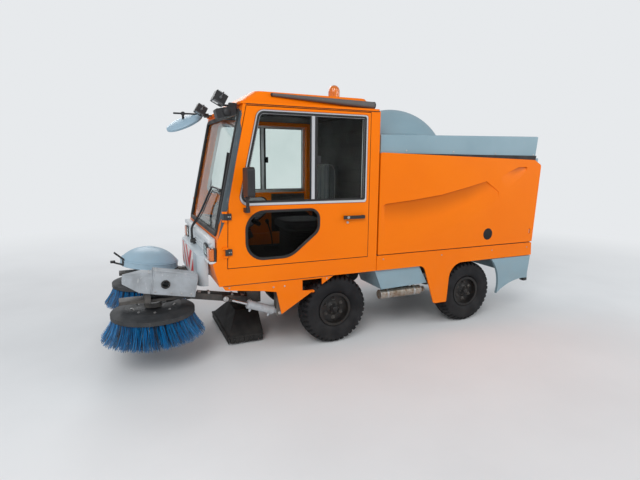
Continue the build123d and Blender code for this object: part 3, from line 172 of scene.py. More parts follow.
def carried(path: np.ndarray, profile: np.ndarray, closed: bool = False, scale: object = 1.0) -> Shape:
    """A profile carried along a path.

    The profile's first axis is the normal of the path's own plane, its second lies across the path.

    Args:
        path: points in metres.
        profile: a closed outline, in metres, in the two directions.
        closed: whether the path is a loop.
        scale: a size factor, or one for each point of the path.

    Returns:
        The swept surface, closed at its ends.
    """
    if closed:
        along = unit(np.roll(path, -1, 0) - np.roll(path, 1, 0))
    else:
        along = unit(np.gradient(path, axis=0))
    normal = np.linalg.svd(path - path.mean(0))[2][2]
    across = unit(np.cross(along, normal))
    upward = np.cross(across, along)
    size = np.broadcast_to(scale, len(path))[:, None, None]
    rows = path[:, None] + size * (
        profile[None, :, :1] * upward[:, None] + profile[None, :, 1:] * across[:, None]
    )
    return skin(rows, round_rows=closed)


def turns(count: int) -> np.ndarray:
    """Angles spread evenly round a circle."""
    return np.linspace(0, 2 * np.pi, count, endpoint=False)


def level(turn: np.ndarray, radius: float) -> np.ndarray:
    """Rows of three: points at some angles round a level circle about the origin."""
    return radius * np.stack([np.cos(turn), np.sin(turn), 0 * turn], 1)


def facing(flat: np.ndarray, ahead: float) -> np.ndarray:
    """A flat outline in millimetres left and up, stood across the machine. The result is in metres."""
    return at(np.column_stack([np.full(len(flat), ahead), flat]))


def joined(shapes: list[Shape]) -> Shape:
    """Several shapes as one."""
    return shapes[0].plus(*shapes[1:])


def ring(radius: float, sides: int = 12) -> np.ndarray:
    """A circle's points as a profile, radius in metres."""
    turn = turns(sides)
    return radius * np.stack([np.cos(turn), np.sin(turn)], 1)


def bar(width: float, height: float, corner: float = 0.3) -> np.ndarray:
    """A rectangle's outline with small cut corners, as a profile.

    Args:
        width: size along the profile's first direction, metres.
        height: size along the second.
        corner: the cut, as a share of the smaller half size.

    Returns:
        Eight points.
    """
    w, h = width / 2, height / 2
    c = corner * min(w, h)
    right = np.array([(w, h - c), (w - c, h), (c - w, h), (-w, h - c)])
    return np.concatenate([right, -right])


def smooth_path(points: object, steps: int = 8) -> np.ndarray:
    """A curve through given points, a cubic on each run.

    The slope at a point is half the way between its neighbours.

    Args:
        points: places in metres.
        steps: points a run.

    Returns:
        The curve's points.
    """
    p = np.asarray(points, float)
    p = np.concatenate([2 * p[:1] - p[1:2], p, 2 * p[-1:] - p[-2:-1]])
    t = np.linspace(0, 1, steps, endpoint=False)[None, :, None]
    a, b, c, d = (p[k:len(p) - 3 + k][:, None] for k in range(4))
    curve = 0.5 * (2 * b + (c - a) * t + (2 * a - 5 * b + 4 * c - d) * t**2 + (3 * b - a - 3 * c + d) * t**3)
    return np.concatenate([curve.reshape(-1, 3), p[-2:-1]])


def rounded(outline: object, radii: object, steps: int = 6) -> np.ndarray:
    """A flat outline with its corners rounded by arcs.

    Each arc is a quadratic curve whose middle is weighted by the sine of half the corner's angle.

    Args:
        outline: corners in two dimensions.
        radii: a radius for all corners, or one each.
        steps: points a corner.

    Returns:
        The rounded outline's points.
    """
    corner = np.asarray(outline, float)
    back, onward = unit(np.roll(corner, 1, 0) - corner), unit(np.roll(corner, -1, 0) - corner)
    half = np.arccos(np.clip((back * onward).sum(1), -1, 1))[:, None] / 2
    reach = np.broadcast_to(radii, len(corner))[:, None] / np.tan(half)
    before, after = (corner + way * reach for way in (back, onward))
    t = np.linspace(0, 1, steps)[None, :, None]
    shares = ((1 - t) ** 2, 2 * t * (1 - t) * np.sin(half)[:, None], t**2)
    arcs = sum(share * point[:, None] for share, point in zip(shares, (before, corner, after))) / sum(shares)
    return arcs.reshape(-1, 2)


def block(low: object, high: object, radius: float, steps: int = 3) -> Shape:
    """A box with round edges: each corner is an eighth of a ball, and the flat faces join the corners.

    Args:
        low: lowest corner in metres.
        high: highest corner in metres.
        radius: the edges' radius in metres.
        steps: divisions a quarter turn.

    Returns:
        The closed surface.
    """
    low, high = np.minimum(low, high), np.maximum(low, high)
    centre, half = (low + high) / 2, (high - low) / 2
    radius = min(radius, half.min() * 0.98)
    quarter = np.linspace(0, np.pi / 2, steps + 1)
    rise = np.concatenate([quarter - np.pi / 2, quarter])[:, None]
    rise_sign = np.repeat((-1, 1), steps + 1)[:, None]
    turn = np.concatenate([quarter + k * np.pi / 2 for k in range(4)])[None]
    x_sign, y_sign = np.repeat((1, -1, -1, 1), steps + 1)[None], np.repeat((1, 1, -1, -1), steps + 1)[None]
    ball = np.stack(
        np.broadcast_arrays(np.cos(rise) * np.cos(turn), np.cos(rise) * np.sin(turn), np.sin(rise)), -1,
    )
    signs = np.stack(np.broadcast_arrays(x_sign, y_sign, rise_sign), -1)
    return skin(centre + signs * (half - radius) + radius * ball)


def turned(profile: object, centre: object, axis: object, sides: int = 32) -> Shape:
    """A profile turned round an axis.

    Args:
        profile: rows of distance along the axis and radius, in millimetres.
        centre: the place on the axis where the distance is nought, in metres.
        axis: the axis' direction.
        sides: steps round the axis.

    Returns:
        The closed surface.
    """
    profile = np.asarray(profile, float) / 1000
    along = unit(np.asarray(axis, float))
    side = unit(np.cross(along, (0.0, 0.0, 1.0) if abs(along[2]) < 0.9 else (1.0, 0.0, 0.0)))
    other = np.cross(along, side)
    circle = ring(1.0, sides)
    spokes = circle[:, :1] * side + circle[:, 1:] * other
    rows = np.asarray(centre) + profile[:, :1, None] * along + profile[:, 1:, None] * spokes
    return skin(rows)


def plate(outline: np.ndarray, y_inner: float, y_outer: float, bevel: float = 0.0) -> Shape:
    """A flat plate along the machine's side, its rim eased by a small slope.

    Args:
        outline: corners ahead of the front axle and above the ground, millimetres.
        y_inner: inner face, millimetres left of the middle.
        y_outer: outer face.
        bevel: how far the outer face draws in, millimetres.

    Returns:
        The closed plate.
    """
    outline = np.asarray(outline, float)
    inward = unit(outline.mean(0) - outline) * bevel
    levels = ((outline, y_inner), (outline, y_outer - bevel), (outline + inward, y_outer))
    rows = np.stack([np.stack([o[:, 0], np.full(len(o), y), o[:, 1]], 1) for o, y in levels])
    return skin(at(rows))


def piece(
    name: str, shape: Shape, body: str, finish: "Finish", slot: str, replaces: tuple[str, ...] = (),
    crease: float = 38.0,
) -> bpy.types.Object:
    """Makes a piece of a shape, dresses it and lets it ride on a body.

    Args:
        name: the piece's name.
        shape: its surface.
        body: the CAD body that it moves with.
        finish: its finish.
        slot: a material slot's name, not used.
        replaces: the CAD nodes that it stands for.
        crease: the angle in degrees past which an edge stays sharp.

    Returns:
        The new object.
    """
    mesh = bpy.data.meshes.new(name)
    mesh.from_pydata(shape.points.tolist(), [], shape.faces.tolist())
    mesh.attributes.new("tone", "FLOAT", "POINT").data.foreach_set("value", shape.tone.astype(np.float32))
    work = bmesh.new()
    work.from_mesh(mesh)
    bmesh.ops.remove_doubles(work, verts=work.verts, dist=2e-6)
    bmesh.ops.dissolve_degenerate(work, edges=work.edges, dist=1e-6)
    bmesh.ops.recalc_face_normals(work, faces=work.faces)
    work.to_mesh(mesh)
    work.free()
    mesh.shade_smooth()
    mesh.set_sharp_from_angle(angle=math.radians(crease))
    made = bpy.data.objects.new(name, mesh)
    bpy.context.scene.collection.objects.link(made)
    mesh.materials.append(finish.material())
    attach(made, body)
    if replaces:
        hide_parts(*replaces)
    LOG.info("%s: %d faces on %s", name, len(mesh.polygons), body)
    return made


def fixed(body: str, *rows: tuple) -> None:
    """Makes several pieces that ride on one body.

    Args:
        body: the CAD body.
        rows: for each piece, what piece() takes but for the body.
    """
    for name, shape, *dress in rows:
        piece(name, shape, body, *dress)


def sided(*rows: tuple) -> None:
    """Makes several pieces on the left and on the right.

    Args:
        rows: what piece() takes. Names and bodies go without their side, and shapes are the left ones.
    """
    for tag, sign in SIDES:
        for name, shape, body, *dress in rows:
            piece(f"{name}_{tag}", shape.on_side(sign), f"{body}_{tag}", *dress)


def screws(places: np.ndarray, axis: object, radius: float, height: float = 3.0, sides: int = 12) -> Shape:
    """Domed screw heads of one size.

    Args:
        places: where they stand, in metres.
        axis: the way that they point.
        radius: the head's radius in millimetres.
        height: how far it stands out.
        sides: steps round the head, six for a bolt.

    Returns:
        All the heads as one shape.
    """
    profile = (
        (-2, 0.1), (-2, radius), (0.55 * height, radius), (height, 0.65 * radius), (height * 1.05, 0.2),
    )
    return turned(profile, (0, 0, 0), axis, sides).scattered(places)


def side_loop(outline: object, radii: object, y: float, width: float, height: float) -> Shape:
    """A strip carried round an outline on the machine's side.

    Args:
        outline: corners ahead of the front axle and above the ground, millimetres.
        radii: the corners' radii.
        y: the strip's middle, millimetres left of the machine's middle.
        width: its size in the side's plane.
        height: its size across that plane.

    Returns:
        The closed strip.
    """
    flat = rounded(outline, radii, 8)
    path = at(np.stack([flat[:, 0], np.full(len(flat), y), flat[:, 1]], 1))
    return carried(path, bar(height / 1000, width / 1000, 0.5), closed=True)


def tilted(shape: Shape, centre: np.ndarray, degrees: float) -> Shape:
    """The shape turned about a line across the machine.

    Args:
        shape: the shape.
        centre: a place on that line, in metres.
        degrees: the turn, which takes the front down where it is positive.

    Returns:
        The turned shape.
    """
    cos, sin = math.cos(math.radians(degrees)), math.sin(math.radians(degrees))
    turn = np.array(((cos, 0, sin), (0, 1, 0), (-sin, 0, cos)))
    return Shape((shape.points - centre) @ turn.T + centre, shape.faces, shape.tone)


def box_of(low: object, high: object, radius: float = 3.0) -> Shape:
    """A round-edged block between two corners given in millimetres ahead, left and up."""
    return block(at(low), at(high), radius / 1000)


def rod(points: object, radius: float, sides: int = 12) -> Shape:
    """A round bar through points given in millimetres ahead, left and up."""
    return carried(smooth_path(at(points)), ring(radius / 1000, sides))


class Graph:
    """A material's nodes, built from the surface's own coordinates."""

    def __init__(self, name: str) -> None:
        """Starts an empty material with one shader.

        Args:
            name: the material's name.
        """
        self.made = bpy.data.materials.new(name)
        self.made.use_nodes = True
        self.tree = self.made.node_tree
        self.tree.nodes.clear()
        self.shader = self.node("ShaderNodeBsdfPrincipled")
        output = self.node("ShaderNodeOutputMaterial")
        self.link(self.shader.outputs[0], output.inputs[0])
        self.place = self.node("ShaderNodeTexCoord").outputs["Object"]

    def node(self, kind: str, **values: object) -> bpy.types.Node:
        """Adds a node and sets its properties.

        Args:
            kind: the node's type.
            values: property names and values.

        Returns:
            The node.
        """
        made = self.tree.nodes.new(kind)
        for key, value in values.items():
            setattr(made, key, value)
        return made

    def link(self, source: bpy.types.NodeSocket, target: bpy.types.NodeSocket) -> None:
        """Joins two sockets."""
        self.tree.links.new(source, target)

    def feed(self, socket: bpy.types.NodeSocket, value: object) -> None:
        """Sets a socket to a value or links another socket to it.

        Args:
            socket: the input.
            value: a number, a colour or an output socket.
        """
        if isinstance(value, bpy.types.NodeSocket):
            self.link(value, socket)
        else:
            socket.default_value = value

    def stretched(self, scale: tuple[float, float, float]) -> bpy.types.NodeSocket:
        """The coordinates, scaled along each axis."""
        made = self.node("ShaderNodeMapping")
        made.inputs["Scale"].default_value = scale
        self.link(self.place, made.inputs["Vector"])
        return made.outputs[0]

    def noise(
        self, scale: float, detail: float = 4.0, vector: bpy.types.NodeSocket | None = None,
    ) -> bpy.types.NodeSocket:
        """Cloudy noise.

        Args:
            scale: how fine it is, waves a metre.
            detail: octaves.
            vector: coordinates, if not the plain ones.

        Returns:
            The noise, about nought to one.
        """
        made = self.node("ShaderNodeTexNoise")
        made.inputs["Scale"].default_value = scale
        made.inputs["Detail"].default_value = detail
        self.link(vector or self.place, made.inputs["Vector"])
        return made.outputs["Fac"]

    def span(
        self, value: bpy.types.NodeSocket, low: float, high: float, to_low: float = 0.0,
        to_high: float = 1.0,
    ) -> bpy.types.NodeSocket:
        """Maps a range to another and holds it there.

        Args:
            value: the input.
            low: input that gives to_low.
            high: input that gives to_high.
            to_low: output at the low end.
            to_high: output at the high end.

        Returns:
            The mapped value.
        """
        made = self.node("ShaderNodeMapRange", interpolation_type="SMOOTHSTEP")
        for key, number in zip((1, 2, 3, 4), (low, high, to_low, to_high)):
            made.inputs[key].default_value = number
        self.link(value, made.inputs[0])
        return made.outputs[0]

    def sum(self, kind: str, first: object, second: object) -> bpy.types.NodeSocket:
        """One step of arithmetic on two values.

        Args:
            kind: the operation's name.
            first: a number or socket.
            second: a number or socket.

        Returns:
            The result.
        """
        made = self.node("ShaderNodeMath", operation=kind)
        self.feed(made.inputs[0], first)
        self.feed(made.inputs[1], second)
        return made.outputs[0]

    def blend(self, share: object, first: object, second: object) -> bpy.types.NodeSocket:
        """Mixes two colours.

        Args:
            share: how much of the second.
            first: a colour or socket.
            second: a colour or socket.

        Returns:
            The mixed colour.
        """
        made = self.node("ShaderNodeMix", data_type="RGBA")
        self.feed(made.inputs[0], share)
        for key, value in ((6, first), (7, second)):
            self.feed(made.inputs[key], (*value, 1.0) if isinstance(value, tuple) else value)
        return made.outputs[2]

    def relief(self, height: bpy.types.NodeSocket, strength: float, depth: float) -> None:
        """Lets a height pattern bend the shading.

        Args:
            height: the pattern.
            strength: its strength.
            depth: its depth in metres.
        """
        made = self.node("ShaderNodeBump")
        made.inputs["Strength"].default_value = strength
        made.inputs["Distance"].default_value = depth
        self.link(height, made.inputs["Height"])
        self.link(made.outputs[0], self.shader.inputs["Normal"])

    def height(self) -> bpy.types.NodeSocket:
        """Height above the ground, in metres."""
        made = self.node("ShaderNodeSeparateXYZ")
        self.link(self.place, made.inputs[0])
        return made.outputs[2]

    def across(self) -> bpy.types.NodeSocket:
        """Distance left of the machine's middle, in metres."""
        made = self.node("ShaderNodeSeparateXYZ")
        self.link(self.place, made.inputs[0])
        return made.outputs[1]

    def tone(self) -> bpy.types.NodeSocket:
        """The piece's own tone attribute."""
        return self.node("ShaderNodeAttribute", attribute_name="tone").outputs["Fac"]


class Grain(Enum):
    """How a surface's fine relief runs."""

    PEEL = (900.0, 0.06)
    MOULDED = (1600.0, 0.25)
    CAST = (420.0, 0.35)
    BRUSHED = (700.0, 0.12)


@dataclass(frozen=True)
class Finish:
    """A finish with patches of a second tint, dust that thins with height, scuffs, a grain, and painted shade
    in recesses.
    """

    name: str
    colour: tuple[float, float, float]
    tint: tuple[float, float, float]
    rough: float = 0.4
    metal: float = 0.0
    clear: float = 0.0
    patches: float = 0.5
    patch_scale: float = 3.0
    dust: float = 0.3
    dust_top: float = 1.2
    scuffs: float = 0.15
    scuff_colour: tuple[float, float, float] = (0.42, 0.40, 0.37)
    grain: Grain = Grain.PEEL
    gloss: float = 0.5
    # How strongly painted shade darkens the recesses of a panel's relief, nought for none
    hollow_shade: float = 0.0

    def material(self) -> bpy.types.Material:
        """The finish's material, built once.

        Returns:
            The material.
        """
        known = bpy.data.materials.get(self.name)
        return known or self.build()

    def build(self) -> bpy.types.Material:
        """Builds the nodes.

        Returns:
            The new material.
        """
        g = Graph(self.name)
        patch = g.span(g.noise(self.patch_scale, 5.0), 0.35, 0.68, 0.0, self.patches)
        colour = g.blend(patch, self.colour, self.tint)
        fine = g.noise(60.0, 6.0, g.stretched((1.0, 1.0, 0.25)))
        scuff = g.span(fine, 0.60, 0.72, 0.0, self.scuffs)
        colour = g.blend(scuff, colour, self.scuff_colour)
        low = g.span(g.height(), 0.05, self.dust_top, 1.0, 0.0)
        cloud = g.span(g.noise(9.0, 6.0), 0.32, 0.72, 0.15, 1.0)
        dirt = g.sum("MULTIPLY", g.sum("MULTIPLY", low, cloud), self.dust)
        colour = g.blend(dirt, colour, DUST)
        # Painted shade: surfaces set back from the panel's face, judged by their distance from the middle,
        # darken towards a dark tint
        if self.hollow_shade:
            painted_shade = g.span(g.sum("ABSOLUTE", g.across(), 0.0), *HOLLOW_SHADE_SPAN, self.hollow_shade, 0.0)
            colour = g.blend(painted_shade, colour, tuple(0.4 * part for part in self.tint))
        g.link(colour, g.shader.inputs["Base Color"])
        dull = g.sum("MULTIPLY", g.sum("ADD", scuff, dirt), 0.5)
        ripple = g.span(g.noise(7.0, 3.0), 0.3, 0.7, self.rough * 0.85, self.rough * 1.15)
        g.link(g.sum("ADD", ripple, dull), g.shader.inputs["Roughness"])
        g.shader.inputs["Metallic"].default_value = self.metal
        g.shader.inputs["Specular IOR Level"].default_value = self.gloss
        if self.clear:
            g.shader.inputs["Coat Weight"].default_value = self.clear
            g.shader.inputs["Coat Roughness"].default_value = 0.12
        scale, strength = self.grain.value
        along = (1.0, 0.06, 1.0) if self.grain is Grain.BRUSHED else (1.0, 1.0, 1.0)
        g.relief(g.noise(scale, 3.0, g.stretched(along)), strength, 0.0006)
        return g.made


@dataclass(frozen=True)
class Glazing(Finish):
    """Clear sheet that is a little smeared, and darkened below a given height as painted shade."""

    tinge: tuple[float, float, float] = (0.86, 0.92, 0.90)
    # Height in metres below which the glass is tinted dark as painted shade, nought for none
    painted_shade_below: float = 0.0

    def build(self) -> bpy.types.Material:
        """Builds a clear shader with faint smears, tinted dark below a given height as painted shade.

        Returns:
            The new material.
        """
        g = Graph(self.name)
        smear = g.span(g.noise(5.0, 6.0, g.stretched((1.0, 1.0, 0.4))), 0.45, 0.8, 0.02, 0.12)
        g.link(smear, g.shader.inputs["Roughness"])
        tint = g.blend(g.span(g.noise(2.0, 3.0), 0.4, 0.8, 0.0, 0.4), self.tinge, self.colour)
        # Painted shade: below that height the glass takes the dark tint, standing in for the shade inside the
        # door
        if self.painted_shade_below:
            clear = g.span(g.height(), self.painted_shade_below - 0.005, self.painted_shade_below + 0.005)
            tint = g.blend(clear, self.tint, tint)
        g.link(tint, g.shader.inputs["Base Color"])
        g.shader.inputs["Transmission Weight"].default_value = 1.0
        g.shader.inputs["IOR"].default_value = 1.12
        return g.made


@dataclass(frozen=True)
class Moulded(Finish):
    """Coloured clear plastic of a lamp, with fine ribs inside."""

    rib_scale: float = 180.0

    def build(self) -> bpy.types.Material:
        """Builds a ribbed lens.

        Returns:
            The new material.
        """
        g = Graph(self.name)
        ribs = g.node("ShaderNodeTexWave", bands_direction="Y", wave_profile="SIN")
        ribs.inputs["Scale"].default_value = self.rib_scale / WAVE_TURN
        g.link(g.place, ribs.inputs["Vector"])
        shade = g.span(ribs.outputs["Fac"], 0.0, 1.0, 0.0, self.patches)
        dusted = g.blend(
            g.span(g.noise(14.0, 5.0), 0.4, 0.8, 0.0, self.dust), g.blend(shade, self.colour, self.tint),
            self.scuff_colour,
        )
        g.link(dusted, g.shader.inputs["Base Color"])
        g.shader.inputs["Roughness"].default_value = self.rough
        g.shader.inputs["Coat Weight"].default_value = 1.0
        g.shader.inputs["Coat Roughness"].default_value = 0.05
        g.shader.inputs["Transmission Weight"].default_value = self.clear
        g.relief(ribs.outputs["Fac"], 0.35, 0.001)
        return g.made


@dataclass(frozen=True)
class Filament(Finish):
    """Plastic bristles whose colour follows each strand's tone, dusty at the tips."""

    def build(self) -> bpy.types.Material:
        """Builds the strands' colour from their tone: blue below nought point eight, grey above.

        Returns:
            The new material.
        """
        g = Graph(self.name)
        tone = g.tone()
        blue = g.blend(g.span(tone, 0.0, 0.75), self.colour, self.tint)
        colour = g.blend(g.span(tone, 0.8, 0.86), blue, (0.035, 0.036, 0.04))
        tip = g.span(g.height(), 0.225, 0.30, self.dust, 0.0)
        colour = g.blend(tip, colour, self.scuff_colour)
        g.link(colour, g.shader.inputs["Base Color"])
        g.link(
            g.span(g.noise(80.0), 0.3, 0.7, self.rough - 0.1, self.rough + 0.1),
            g.shader.inputs["Roughness"],
        )
        return g.made


@dataclass(frozen=True)
class Woven(Finish):
    """Upholstery cloth with a plain weave."""

    threads: float = 900.0

    def build(self) -> bpy.types.Material:
        """Builds two crossed wave patterns as warp and weft.

        Returns:
            The new material.
        """
        g = Graph(self.name)
        waves = []
        for direction in ("X", "DIAGONAL"):
            wave = g.node("ShaderNodeTexWave", bands_direction=direction)
            wave.inputs["Scale"].default_value = self.threads / WAVE_TURN
            g.link(g.place, wave.inputs["Vector"])
            waves.append(wave.outputs["Fac"])
        weave = g.sum("MULTIPLY", *waves)
        colour = g.blend(weave, self.colour, self.tint)
        colour = g.blend(g.span(g.noise(6.0, 5.0), 0.4, 0.75, 0.0, 0.35), colour, self.scuff_colour)
        g.link(colour, g.shader.inputs["Base Color"])
        g.link(g.span(weave, 0.0, 1.0, 0.8, 0.95), g.shader.inputs["Roughness"])
        g.shader.inputs["Sheen Weight"].default_value = 0.3
        g.relief(weave, 0.4, 0.0008)
        return g.made


@dataclass(frozen=True)
class Hazard(Finish):
    """Slanting red and white warning stripes."""

    pitch: float = 0.20

    def build(self) -> bpy.types.Material:
        """Builds stripes from the height less the distance off the middle, wrapped at the pitch.

        Returns:
            The new material.
        """
        g = Graph(self.name)
        parts = g.node("ShaderNodeSeparateXYZ")
        g.link(g.place, parts.inputs[0])
        slant = g.sum(
            "ADD", g.sum("MULTIPLY", g.sum("ABSOLUTE", parts.outputs[1], 0.0), -1.0), parts.outputs[2],
        )
        wrapped = g.sum("FLOORED_MODULO", g.sum("DIVIDE", slant, self.pitch), 1.0)
        band = g.span(wrapped, 0.49, 0.51)
        colour = g.blend(band, self.colour, self.tint)
        colour = g.blend(g.span(g.noise(30.0, 6.0), 0.5, 0.75, 0.0, 0.35), colour, self.scuff_colour)
        g.link(colour, g.shader.inputs["Base Color"])
        g.link(g.span(g.noise(12.0), 0.3, 0.7, self.rough, self.rough + 0.15), g.shader.inputs["Roughness"])
        return g.made


@dataclass(frozen=True)
class Scorched(Finish):
    """Bare tube that heat has turned straw and brown."""

    def build(self) -> bpy.types.Material:
        """Builds clouds of straw and brown, with rust over them.

        Returns:
            The new material.
        """
        g = Graph(self.name)
        stain = g.span(g.noise(7.0, 6.0, g.stretched((2.2, 1.0, 1.0))), 0.35, 0.65)
        colour = g.blend(stain, self.colour, self.tint)
        rust = g.span(g.noise(45.0, 8.0), 0.52, 0.66, 0.0, 0.75)
        colour = g.blend(rust, colour, self.scuff_colour)
        g.link(colour, g.shader.inputs["Base Color"])
        g.link(g.span(rust, 0.0, 0.75, self.rough, 0.8), g.shader.inputs["Roughness"])
        g.link(g.span(rust, 0.0, 0.75, self.metal, 0.1), g.shader.inputs["Metallic"])
        g.relief(rust, 0.3, 0.001)
        return g.made


RUST = (0.17, 0.075, 0.03)
ORANGE = Finish(
    "orange_enamel", (0.93, 0.195, 0.0), (0.87, 0.165, 0.0), rough=0.36, clear=0.05, patches=0.45,
    patch_scale=1.6, dust=0.05, dust_top=0.9, scuffs=0.08, scuff_colour=(0.75, 0.22, 0.02), gloss=0.14,
)
# The hopper's side panels, with painted shade in the recesses of their relief
PANEL = replace(ORANGE, name="panel_enamel_hollow_shade", hollow_shade=0.55)
BLUE_GREY = Finish(
    "blue_grey_enamel", (0.245, 0.365, 0.425), (0.20, 0.31, 0.365), rough=0.45, clear=0.1, dust=0.22,
    dust_top=0.9, scuffs=0.15,
)
PALE = Finish(
    "pale_front_plastic", (0.58, 0.64, 0.68), (0.50, 0.56, 0.60), rough=0.35, clear=0.2, patches=0.6,
    patch_scale=6.0, dust=0.35, dust_top=1.0, scuffs=0.35, scuff_colour=(0.30, 0.29, 0.28),
)
COVER_LEFT = Finish(
    "worn_cover", (0.38, 0.41, 0.44), (0.27, 0.29, 0.31), rough=0.6, patches=0.9, patch_scale=9.0, dust=0.2,
    scuffs=0.55, scuff_colour=(0.62, 0.63, 0.63), grain=Grain.MOULDED,
)
COVER_RIGHT = Finish(
    "pale_cover", (0.36, 0.52, 0.63), (0.31, 0.44, 0.54), rough=0.45, clear=0.15, patches=0.6, dust=0.25,
    scuffs=0.2,
)
CHASSIS = Finish(
    "chassis_black", (0.022, 0.022, 0.024), (0.05, 0.045, 0.04), rough=0.5, dust=0.55, dust_top=1.1,
    scuffs=0.3, scuff_colour=(0.13, 0.09, 0.06), grain=Grain.CAST,
)
WORN_STEEL = Finish(
    "worn_black_steel", (0.035, 0.035, 0.037), (0.10, 0.09, 0.08), rough=0.42, metal=0.5, patches=0.8,
    patch_scale=60.0, dust=0.25, scuffs=0.4, scuff_colour=(0.16, 0.10, 0.06), grain=Grain.CAST,
)
RIM = Finish(
    "rim_black", (0.008, 0.008, 0.009), (0.020, 0.016, 0.013), rough=0.42, patches=0.7, patch_scale=14.0,
    dust=0.05, scuffs=0.3, scuff_colour=(0.08, 0.05, 0.035), grain=Grain.CAST, gloss=0.35,
)
RUBBER = Finish(
    "tyre_rubber_dusty", (0.006, 0.006, 0.0075), (0.014, 0.014, 0.016), rough=0.7, patches=0.8,
    patch_scale=12.0, dust=0.045, dust_top=0.5, scuffs=0.10, scuff_colour=(0.05, 0.048, 0.045),
    grain=Grain.MOULDED, gloss=0.3,
)
SEAL = Finish(
    "seal_rubber", (0.010, 0.010, 0.011), (0.028, 0.028, 0.028), rough=0.62, dust=0.15, scuffs=0.15,
    scuff_colour=(0.06, 0.06, 0.06), grain=Grain.MOULDED,
)
PLASTIC = Finish(
    "black_plastic_moulded", (0.014, 0.014, 0.016), (0.03, 0.03, 0.032), rough=0.48, dust=0.2, scuffs=0.2,
    scuff_colour=(0.08, 0.08, 0.08), grain=Grain.MOULDED,
)
DARK_GREY = Finish(
    "dark_grey_plastic", (0.085, 0.092, 0.10), (0.06, 0.065, 0.07), rough=0.5, dust=0.2, scuffs=0.2,
    grain=Grain.MOULDED,
)
ALUMINIUM = Finish(
    "anodised_frame", (0.62, 0.61, 0.63), (0.52, 0.50, 0.52), rough=0.34, metal=0.85, dust=0.1, scuffs=0.1,
    grain=Grain.BRUSHED,
)
ZINC = Finish(
    "zinc_steel", (0.50, 0.50, 0.50), (0.36, 0.35, 0.34), rough=0.4, metal=0.8, patch_scale=40.0, dust=0.3,
    scuffs=0.4, scuff_colour=RUST, grain=Grain.CAST,
)
CHROME = Finish(
    "rod_chrome", (0.78, 0.78, 0.80), (0.70, 0.70, 0.72), rough=0.12, metal=1.0, dust=0.25, scuffs=0.1,
    grain=Grain.BRUSHED,
)
SILVER = Finish(
    "silver_paint", (0.47, 0.50, 0.53), (0.36, 0.39, 0.42), rough=0.4, patches=0.7, patch_scale=20.0,
    dust=0.3, scuffs=0.35, scuff_colour=(0.16, 0.13, 0.11),
)
LINING = Finish(
    "cab_lining", (0.030, 0.026, 0.026), (0.05, 0.045, 0.045), rough=0.85, dust=0.1, dust_top=2.0,
    scuffs=0.1, scuff_colour=(0.10, 0.10, 0.10), grain=Grain.MOULDED,
)
HOPPER_IN = Finish(
    "hopper_steel", (0.30, 0.34, 0.37), (0.17, 0.16, 0.15), rough=0.6, patches=0.9, patch_scale=5.0,
    dust=0.3, dust_top=2.0, scuffs=0.5, scuff_colour=RUST, grain=Grain.CAST,
)
GLASS = Glazing("clear_glass_sheet", (0.62, 0.72, 0.70), (0.7, 0.7, 0.7))
# The doors' glass, dark below the low window's top as painted shade of the door's inside
DOOR_GLASS = Glazing("door_glass_shaded_below", (0.62, 0.72, 0.70), (0.17, 0.172, 0.175), painted_shade_below=1.17)
MIRROR = Finish(
    "mirror_glass", (0.86, 0.88, 0.90), (0.78, 0.80, 0.82), rough=0.03, metal=1.0, dust=0.02, scuffs=0.02,
    grain=Grain.BRUSHED,
)
AMBER = Moulded(
    "amber_lens", (0.85, 0.20, 0.01), (0.60, 0.10, 0.005), rough=0.15, clear=0.25, patches=0.6, dust=0.1,
    scuff_colour=(0.5, 0.4, 0.3),
)
BEACON_LENS = Moulded(
    "beacon_lens", (0.95, 0.27, 0.01), (0.70, 0.14, 0.005), rough=0.12, clear=0.35, patches=0.5, dust=0.08,
    scuff_colour=(0.6, 0.4, 0.3),
)
RED = Moulded(
    "red_lens", (0.62, 0.015, 0.012), (0.38, 0.008, 0.006), rough=0.15, clear=0.2, patches=0.6, dust=0.1,
    scuff_colour=(0.4, 0.3, 0.28),
)
CLEAR_LENS = Moulded(
    "clear_lens", (0.80, 0.83, 0.86), (0.55, 0.58, 0.60), rough=0.08, clear=0.6, patches=0.5, dust=0.12,
    scuff_colour=(0.5, 0.48, 0.45),
)
BRISTLE = Filament(
    "bristle_strands", (0.001, 0.085, 0.26), (0.005, 0.23, 0.54), rough=0.5, dust=0.22,
    scuff_colour=(0.22, 0.25, 0.28),
)
CLOTH = Woven("seat_cloth", (0.035, 0.037, 0.042), (0.075, 0.078, 0.085), scuff_colour=(0.12, 0.11, 0.10))
SLATE = Finish(
    "slate_strip", (0.060, 0.082, 0.097), (0.045, 0.064, 0.078), rough=0.4, clear=0.2, dust=0.2,
    scuffs=0.15, grain=Grain.MOULDED,
)
TRIM = Finish(
    "white_trim", (0.66, 0.69, 0.71), (0.55, 0.58, 0.60), rough=0.4, patches=0.5, patch_scale=8.0,
    dust=0.25, scuffs=0.3, scuff_colour=(0.35, 0.34, 0.33), grain=Grain.MOULDED,
)
RED_BEAD = Finish(
    "dark_red_bead", (0.10, 0.012, 0.012), (0.03, 0.008, 0.008), rough=0.5, dust=0.1, dust_top=2.0,
    scuffs=0.1, scuff_colour=(0.08, 0.05, 0.05), grain=Grain.MOULDED,
)
MAT = Finish(
    "floor_rubber", (0.018, 0.018, 0.019), (0.05, 0.047, 0.042), rough=0.8, patches=0.8, patch_scale=8.0,
    dust=0.4, dust_top=1.6, scuffs=0.2, scuff_colour=(0.12, 0.11, 0.10), grain=Grain.MOULDED,
)
DIAL = Finish(
    "dial_black", (0.012, 0.012, 0.014), (0.02, 0.02, 0.022), rough=0.25, clear=0.8, dust=0.05,
    dust_top=2.0, scuffs=0.05,
)
STRIPES = Hazard(
    "warning_stripes", (0.62, 0.03, 0.035), (0.74, 0.72, 0.70), rough=0.35, scuff_colour=(0.45, 0.40, 0.38),
)
